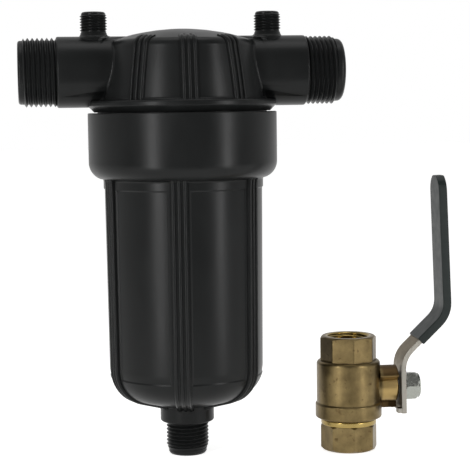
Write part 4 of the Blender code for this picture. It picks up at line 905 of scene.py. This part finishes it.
# %% Head: add the threads
SKIRT_THREAD, SKIRT_THREAD_DEPTH = (41.2, 5.0), 1.2
PIPE_THREAD_START, PORT_THREAD_START = 60.3 * MM, 19.3 * MM
SKIRT_THREAD_TOP = 167.5 * MM
ridges = []
for way, length in ((-1, 16.6), (1, 14.9)):
    ridge = thread_ridge("pipe_ridge", INCH, length, 0.8, 1.6, PIPE_SIDES)
    lie_down = Matrix.Rotation(way * math.pi / 2, 4, "Y")
    ridges.append(settle(ridge, LIFT_PIPE @ lie_down @ Matrix.Translation((0, 0, PIPE_THREAD_START))))
for place in PORT_PLACES:
    ridge = thread_ridge("port_ridge", QUARTER_INCH, 8.4, 0.7, 0.7, SMALL_SIDES)
    ridges.append(settle(ridge, place @ Matrix.Translation((0, 0, PORT_THREAD_START))))
ridge = thread_ridge("skirt_ridge", SKIRT_THREAD, 17.4, 1.0, 1.0, ROUND_SIDES, SKIRT_THREAD_DEPTH)
ridges.append(settle(ridge, Matrix.Translation((0, 0, SKIRT_THREAD_TOP)) @ UPSIDE_DOWN))
settle(merged(head, *ridges), FILTER_PLACE)
finished(head, "head", "housing_nylon", moulded_nylon, "filter_head", angle=38)

# %% [markdown]
# ## The flush valve
# The valve is a two-piece brass ball valve. Its body is one hot-pressed forging with an eight-sided
# wrench end, a round belly, a plain band and a boss for the stem. The round parts are turned here, the
# octagon is a prism cut by a cone, as the lathe leaves it, and the sockets are threaded last.

# %% Valve: turn the body and its wrench end
OCTAGON_HALF_WIDTH = 13.15
OCTAGON_CORNER = OCTAGON_HALF_WIDTH / math.cos(math.pi / 8)
FORGED_CORNER = 0.45 * MM


def octagon_end(name, outline, low, high):
    """An eight-sided prism with softened corners, trimmed by a turned outline."""
    piece = rod(name, OCTAGON_CORNER, low, high, 8)
    soften(piece, FORGED_CORNER, 30)
    combine(piece, turned(name + "_cone", outline, ROUND_SIDES), "INTERSECT")
    return piece


belly = ([(15.3, 16.2)] + arc((15.6, 17.1), 0.9, -80, 0, 4) + arc((15.9, 22.9), 0.6, 0, 70, 3)
         + [(15.8, 23.9)] + arc((13.9, 43.0), 1.9, 0, 80, 7) + [(12.0, 44.75)])
valve_body = turned("brass_valve_body", belly, ROUND_SIDES)
upper_cone = [(16.0, 43.0), (16.0, 54.9), (14.1, 56.0), (12.95, 57.0), (12.7, 57.104)]
combine(valve_body, octagon_end("upper_octagon", upper_cone, 43.2, 58.0))
print("body and octagon:", len(valve_body.data.polygons))

# %% [markdown]
# The boss carries the stem. Two cast lugs beside it stop the lever's tabs, a quarter turn apart, and a
# short rib runs under it. Each of them is a small face that is swept round the stem's line in steps,
# between two turns that are counted from the top, over the front, to the rear.

# %% Valve: weld on the boss and its lugs
BOSS_LOW, BOSS_HIGH = 14.3, 23.8
LUG_ROOT = 6.6
LUG_STEPS = 4
LUGS = {"open_lug": (110, 145, 11.5), "closed_lug": (305, 352, 11.5), "boss_rib": (164, 196, 10.5)}


def lug(name, start, end, reach):
    """A block on the boss between two turns in degrees, out to a reach in millimetres."""
    bpy.ops.object.select_all(action="DESELECT")
    middle = ((BOSS_LOW + BOSS_HIGH) / 2 * MM, 0, (LUG_ROOT + reach) / 2 * MM)
    bpy.ops.mesh.primitive_plane_add(size=1, location=middle, rotation=(math.pi / 2, 0, 0))
    piece = named(name, ((BOSS_HIGH - BOSS_LOW) * MM, (reach - LUG_ROOT) * MM, 1))
    settle(piece, Matrix.Rotation(math.radians(-start), 4, "X"))
    bpy.ops.object.mode_set(mode="EDIT")
    bpy.ops.mesh.select_all(action="SELECT")
    for step in range(LUG_STEPS):
        bpy.ops.mesh.extrude_region_move()
        bpy.ops.transform.rotate(value=math.radians(end - start) / LUG_STEPS, orient_axis="X",
                                 orient_type="GLOBAL", center_override=(0, 0, 0))
    close_form()
    soften(piece, 0.5 * MM, 40)
    return settle(piece, LIFT_STEM)


boss_outline = [(7.2, 12.0), (7.2, 15.2), (7.5, 16.0), (7.5, 22.6)] + arc((6.4, 22.9), 1.2, 0, 90, 5)
combine(valve_body, settle(turned("stem_boss", boss_outline, SMALL_SIDES), LIFT_STEM @ ALONG_X))
for name, (start, end, reach) in LUGS.items():
    combine(valve_body, lug(name, start, end, reach))
print("body with boss and lugs:", len(valve_body.data.polygons))

# %% [markdown]
# The body is bored from both ends: a threaded socket above, a round room for the ball, and a wide
# thread bore below that takes the end piece. The stem's bore and the gland come in from the side.

# %% Valve: bore the body and thread its socket
WATERWAY, SOCKET_CORE = 6.5, 9.42
SOCKET_THREAD_LENGTHS = (11.0, 0.2, 0.8)
waterway_outline = [(12.3, 15.5), (12.3, 19.9), (10.8, 19.9), (10.8, 40.1), (WATERWAY, 40.1),
                    (WATERWAY, 45.6), (SOCKET_CORE, 45.6), (SOCKET_CORE, 55.9), (10.75, 57.2), (10.9, 58.2)]
combine(valve_body, turned("waterway", waterway_outline, SMALL_SIDES), "DIFFERENCE")
ridge = thread_ridge("socket_ridge", HALF_INCH, *SOCKET_THREAD_LENGTHS, SMALL_SIDES)
combine(valve_body, settle(ridge, Matrix.Translation((0, 0, 46.6 * MM))), "DIFFERENCE")
gland_outline = [(5.5, 6.5), (5.5, 13.8), (4.2, 13.8), (4.2, 17.7), (5.8, 17.7), (5.8, 25.0)]
gland = settle(turned("gland_bore", gland_outline, SMALL_SIDES), LIFT_STEM @ ALONG_X)
combine(valve_body, gland, "DIFFERENCE")
settle(valve_body, VALVE_PLACE)
finished(valve_body, "base", "valve_brass", cast_brass, "valve_body")

# %% [markdown]
# The end piece screws into the body from below. The lathe leaves its ring bright, and its octagon
# lines up with the upper one.

# %% Valve: turn the end piece
end_outline = ([(11.0, 11.6), (13.2, 12.5)] + arc((12.8, 13.5), 1.0, -50, 0, 4)
               + arc((12.8, 14.9), 1.0, 0, 90, 6) + [(12.0, 15.95), (12.0, 18.5), (10.5, 18.5), (10.5, 20.9)])
end_piece = turned("brass_end_piece", end_outline, ROUND_SIDES)
lower_cone = [(12.4, 0), (13.2, 0.35), (14.3, 1.5), (16.0, 3.2), (16.0, 10.9), (13.9, 12.3), (13.3, 12.9)]
combine(end_piece, octagon_end("lower_octagon", lower_cone, -1.0, 12.9))
bore_outline = [(10.9, -1.1), (10.75, -0.1), (SOCKET_CORE, 1.2), (SOCKET_CORE, 11.5), (WATERWAY, 11.5),
                (WATERWAY, 22.0)]
combine(end_piece, turned("end_bore", bore_outline, SMALL_SIDES), "DIFFERENCE")
ridge = thread_ridge("end_ridge", HALF_INCH, *SOCKET_THREAD_LENGTHS, SMALL_SIDES)
combine(end_piece, settle(ridge, Matrix.Translation((0, 0, 10.6 * MM)) @ UPSIDE_DOWN), "DIFFERENCE")
settle(end_piece, VALVE_PLACE)
finished(end_piece, "base", "valve_brass", cast_brass, "valve_end_piece")

# %% [markdown]
# ## The ball and the stem
# The ball is ground round and chromed, with its bore in line with the valve while the lever is up. The
# stem's tongue turns it by a slot.

# %% Ball: bore it and slot it
BALL_RADIUS = 10.4
SLOT_FLOOR, SLOT_HALF = 7.9, 1.8
bpy.ops.object.select_all(action="DESELECT")
bpy.ops.mesh.primitive_uv_sphere_add(segments=96, ring_count=48, radius=BALL_RADIUS * MM,
                                     location=(0, 0, STEM_POINT.z))
ball = named("chromed_ball")
combine(ball, rod("ball_bore", WATERWAY, 0, 60, SMALL_SIDES), "DIFFERENCE")
combine(ball, block("ball_slot", (SLOT_FLOOR, -20, -SLOT_HALF), (20, 20, SLOT_HALF), LIFT_STEM), "DIFFERENCE")
settle(ball, VALVE_PLACE)
finished(ball, "flush_lever", "ball_chrome", hard_chrome, "ball")

# %% [markdown]
# The stem is a turned rod with a flange that keeps it in the body, a tongue at one end, and two flats
# at the other that turn with the lever.

# %% Stem: turn it and cut its flats
STEM_RADIUS, FLAT_HALF, FLAT_START = 3.9, 2.8, 24.1
TONGUE_HALF_WIDTH, TONGUE_HALF = 3.5, 1.5
stem_outline = ([(5.0, 11.1), (5.2, 11.3), (5.2, 12.2), (5.0, 12.4), (STEM_RADIUS, 12.4), (STEM_RADIUS, 35.5)]
                + arc((3.0, 35.3), 0.9, 20, 90, 4))
stem = settle(turned("turned_stem", stem_outline, SMALL_SIDES), ALONG_X)
for low, high in ((-9, -FLAT_HALF), (FLAT_HALF, 9)):
    combine(stem, block("stem_flat", (FLAT_START, low, -9), (40, high, 9)), "DIFFERENCE")
tongue = block("stem_tongue", (8.5, -TONGUE_HALF_WIDTH, -TONGUE_HALF), (11.6, TONGUE_HALF_WIDTH, TONGUE_HALF))
combine(stem, tongue)
settle(stem, LEVER_PLACE)
finished(stem, "flush_lever", "stem_steel", turned_steel, "stem")

# %% [markdown]
# ## The lever
# The lever is a steel plate 2.4 mm thick, cropped to a taper with a round tip and bent twice. Its line
# is drawn through four corners, seen from the side, and the two inner ones are rounded. The stations
# along it say how wide the plate is, and lie close together where the tip closes.

# %% Lever: draw its line and its widths
PLATE = 2.4 * MM
HUB_HALF, NECK_HALF, GRIP_HALF, TIP_HALF = 9.75 * MM, 8.25 * MM, 7.4 * MM, 2.0 * MM
NECK_AT = 24.0 * MM
LEVER_CORNERS = in_mm([(26.3, -12.2), (26.3, 15.2), (48.7, 36.7), (46.2, 104.5)])
BEND_RADIUS, BEND_STEPS = 14 * MM, 12


def bent(corners, radius, steps):
    """A line through corners whose inner ones are rounded, as (x, z) points."""
    corners = [Vector(corner) for corner in corners]
    points = [corners[0]]
    for before, corner, after in zip(corners, corners[1:], corners[2:]):
        back, on = (before - corner).normalized(), (after - corner).normalized()
        reach = radius * math.tan((math.pi - back.angle(on)) / 2)
        shares = [step / steps for step in range(steps + 1)]
        points += [corner + back * reach * (1 - share) ** 2 + on * reach * share ** 2 for share in shares]
    return points + [corners[-1]]


def lever_stations(line, start, grow):
    """Points along the lever with half its width at each, close together at the round tip."""
    along = [0.0]
    for before, after in zip(line, line[1:]):
        along.append(along[-1] + (after - before).length)
    total, full, flat = along[-1], GRIP_HALF + grow, TIP_HALF + grow
    reach = math.sqrt(full ** 2 - flat ** 2)
    tip = [total - reach + full * math.cos(math.radians(turn)) for turn in range(88, 26, -6)]
    wanted = [start] + [at for at in along[1:-1] if start < at < total - reach] + [NECK_AT]
    wanted = sorted(at for at in wanted if at >= start) + [at for at in tip if at < total] + [total]
    stations = []
    for at in wanted:
        index = max(i for i in range(len(line) - 1) if along[i] <= at)
        way = (line[index + 1] - line[index]).normalized()
        if at < NECK_AT:
            half = HUB_HALF + (NECK_HALF - HUB_HALF) * at / NECK_AT
        else:
            half = NECK_HALF + (GRIP_HALF - NECK_HALF) * (at - NECK_AT) / (total - NECK_AT)
        past = max(at - (total - reach), 0.0)
        half = math.sqrt(max((half + grow) ** 2 - past ** 2, flat ** 2))
        stations.append((line[index] + way * (at - along[index]), half))
    return stations


lever_line = bent(LEVER_CORNERS, BEND_RADIUS, BEND_STEPS)
print("points on the lever's line:", len(lever_line))

# %% [markdown]
# A flat face is swept along the line and made narrower on the way. Two small tabs are turned in at the
# lever's foot, where they meet the lugs, and the hole has two flats that fit the stem. A small bevel
# gives the tumbled edges that plating leaves.

# %% Lever: sweep the plate
TAB_EDGES, TAB_WIDTH = (-9.55, 5.05), 4.5
TAB_REACH, LEVER_FACE = 23.1, 26.0
TAB_FOOT, TAB_TOP = -12.0, -9.6
HOLE_RADIUS, HOLE_FLAT_HALF = 4.2, 3.1


def strip(name, line, start, grow, thickness):
    """A flat strip as wide as the lever plus grow on each side."""
    stations = lever_stations(line, start, grow)
    points = [tuple(point) for point, half in stations]
    first_half = stations[0][1]
    bpy.ops.object.select_all(action="DESELECT")
    bpy.ops.mesh.primitive_plane_add(size=1, location=(points[0][0], 0, points[0][1]),
                                     rotation=(0, facing(points), 0))
    piece = named(name, (thickness, 2 * first_half, 1))
    return swept(piece, points, [(1.0, half / first_half) for point, half in stations])


lever = strip("bent_lever", lever_line, 0.0, 0.0, PLATE)
for edge in TAB_EDGES:
    combine(lever, block("stop_tab", (TAB_REACH, edge, TAB_FOOT), (LEVER_FACE, edge + TAB_WIDTH, TAB_TOP)))
hole = rod("stem_hole", HOLE_RADIUS, 22, 32, SMALL_SIDES, ALONG_X)
combine(hole, block("hole_flats", (0, -HOLE_FLAT_HALF, -9), (40, HOLE_FLAT_HALF, 9)), "INTERSECT")
combine(lever, hole, "DIFFERENCE")
soften(lever, 0.4 * MM, 50)
settle(lever, LEVER_PLACE)
finished(lever, "flush_lever", "lever_steel", lever_steel, "lever", angle=40)

# %% [markdown]
# The sleeve is vinyl that the hot lever was dipped into, so it follows the plate closely, has soft
# edges, and ends in a straight lip where the bath stopped. It is a wider strip with the plate's room
# cut out of it.

# %% Lever sleeve: dip the grip
SLEEVE_START, SLEEVE_WALL, SLEEVE_GAP = 38.7 * MM, 0.6 * MM, 0.3 * MM
SLEEVE_ROUNDING = 1.15 * MM
tip_way = (lever_line[-1] - lever_line[-2]).normalized()


def grip_strip(name, start, around):
    """The lever's grip, thicker by around on every side and longer by it at the tip."""
    line = lever_line[:-1] + [lever_line[-1] + tip_way * around]
    return strip(name, line, start, around, PLATE + 2 * around)


sleeve = grip_strip("dipped_sleeve", SLEEVE_START, SLEEVE_WALL + SLEEVE_GAP)
soften(sleeve, SLEEVE_ROUNDING, 50, segments=5)
combine(sleeve, grip_strip("sleeve_room", SLEEVE_START - 2 * MM, SLEEVE_GAP), "DIFFERENCE")
settle(sleeve, LEVER_PLACE)
finished(sleeve, "flush_lever", "sleeve_vinyl", dipped_vinyl, "lever_sleeve", angle=40)

# %% [markdown]
# A zinc plated lock nut holds the lever on the stem: a hexagon whose corners are turned off at both
# ends, with a thin collar outside. The photograph shows it with a corner a little above the middle.

# %% Lever nut: cut the hexagon
NUT_HALF_WIDTH = 6.5
NUT_TURN = math.radians(-6)
nut = rod("lock_nut", NUT_HALF_WIDTH / math.cos(math.pi / 6), 27.8, 36.0, 6)
soften(nut, 0.15 * MM, 40, segments=2)
nut_outline = ([(6.6, 27.8), (7.6, 28.5), (7.6, 33.2), (6.5, 34.4), (6.1, 34.5)]
               + arc((5.6, 35.3), 0.5, 0, 90, 4))
combine(nut, turned("nut_turning", nut_outline, SMALL_SIDES), "INTERSECT")
combine(nut, rod("nut_bore", HOLE_RADIUS, 20, 40, SMALL_SIDES), "DIFFERENCE")
settle(nut, LEVER_PLACE @ Matrix.Rotation(NUT_TURN, 4, "X") @ ALONG_X)
finished(nut, "flush_lever", "nut_zinc", zinc_plate, "lever_nut")

# %% [markdown]
# ## The pieces inside
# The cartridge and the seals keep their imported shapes, which are plain rings and a ribbed cage. They
# need a surface only, and they are seen when the head is off or the valve is taken apart.

# %% Dress the inner pieces
INNER = {cartridge_plastic: ("screen_cage", "screen_top_ring", "screen_bottom_ring"),
         screen_steel: ("screen_mesh",),
         seal_rubber: ("bowl_o_ring", "screen_top_o_ring", "screen_bottom_o_ring"),
         white_ptfe: ("upper_seat", "lower_seat", "end_seal", "stem_thrust_washer", "stem_packing"),
         cast_brass: ("gland_nut",)}
for material, names in INNER.items():
    for name in names:
        nodes[name].data.materials.clear()
        nodes[name].data.materials.append(material)
print("inner pieces:", sum(len(names) for names in INNER.values()))
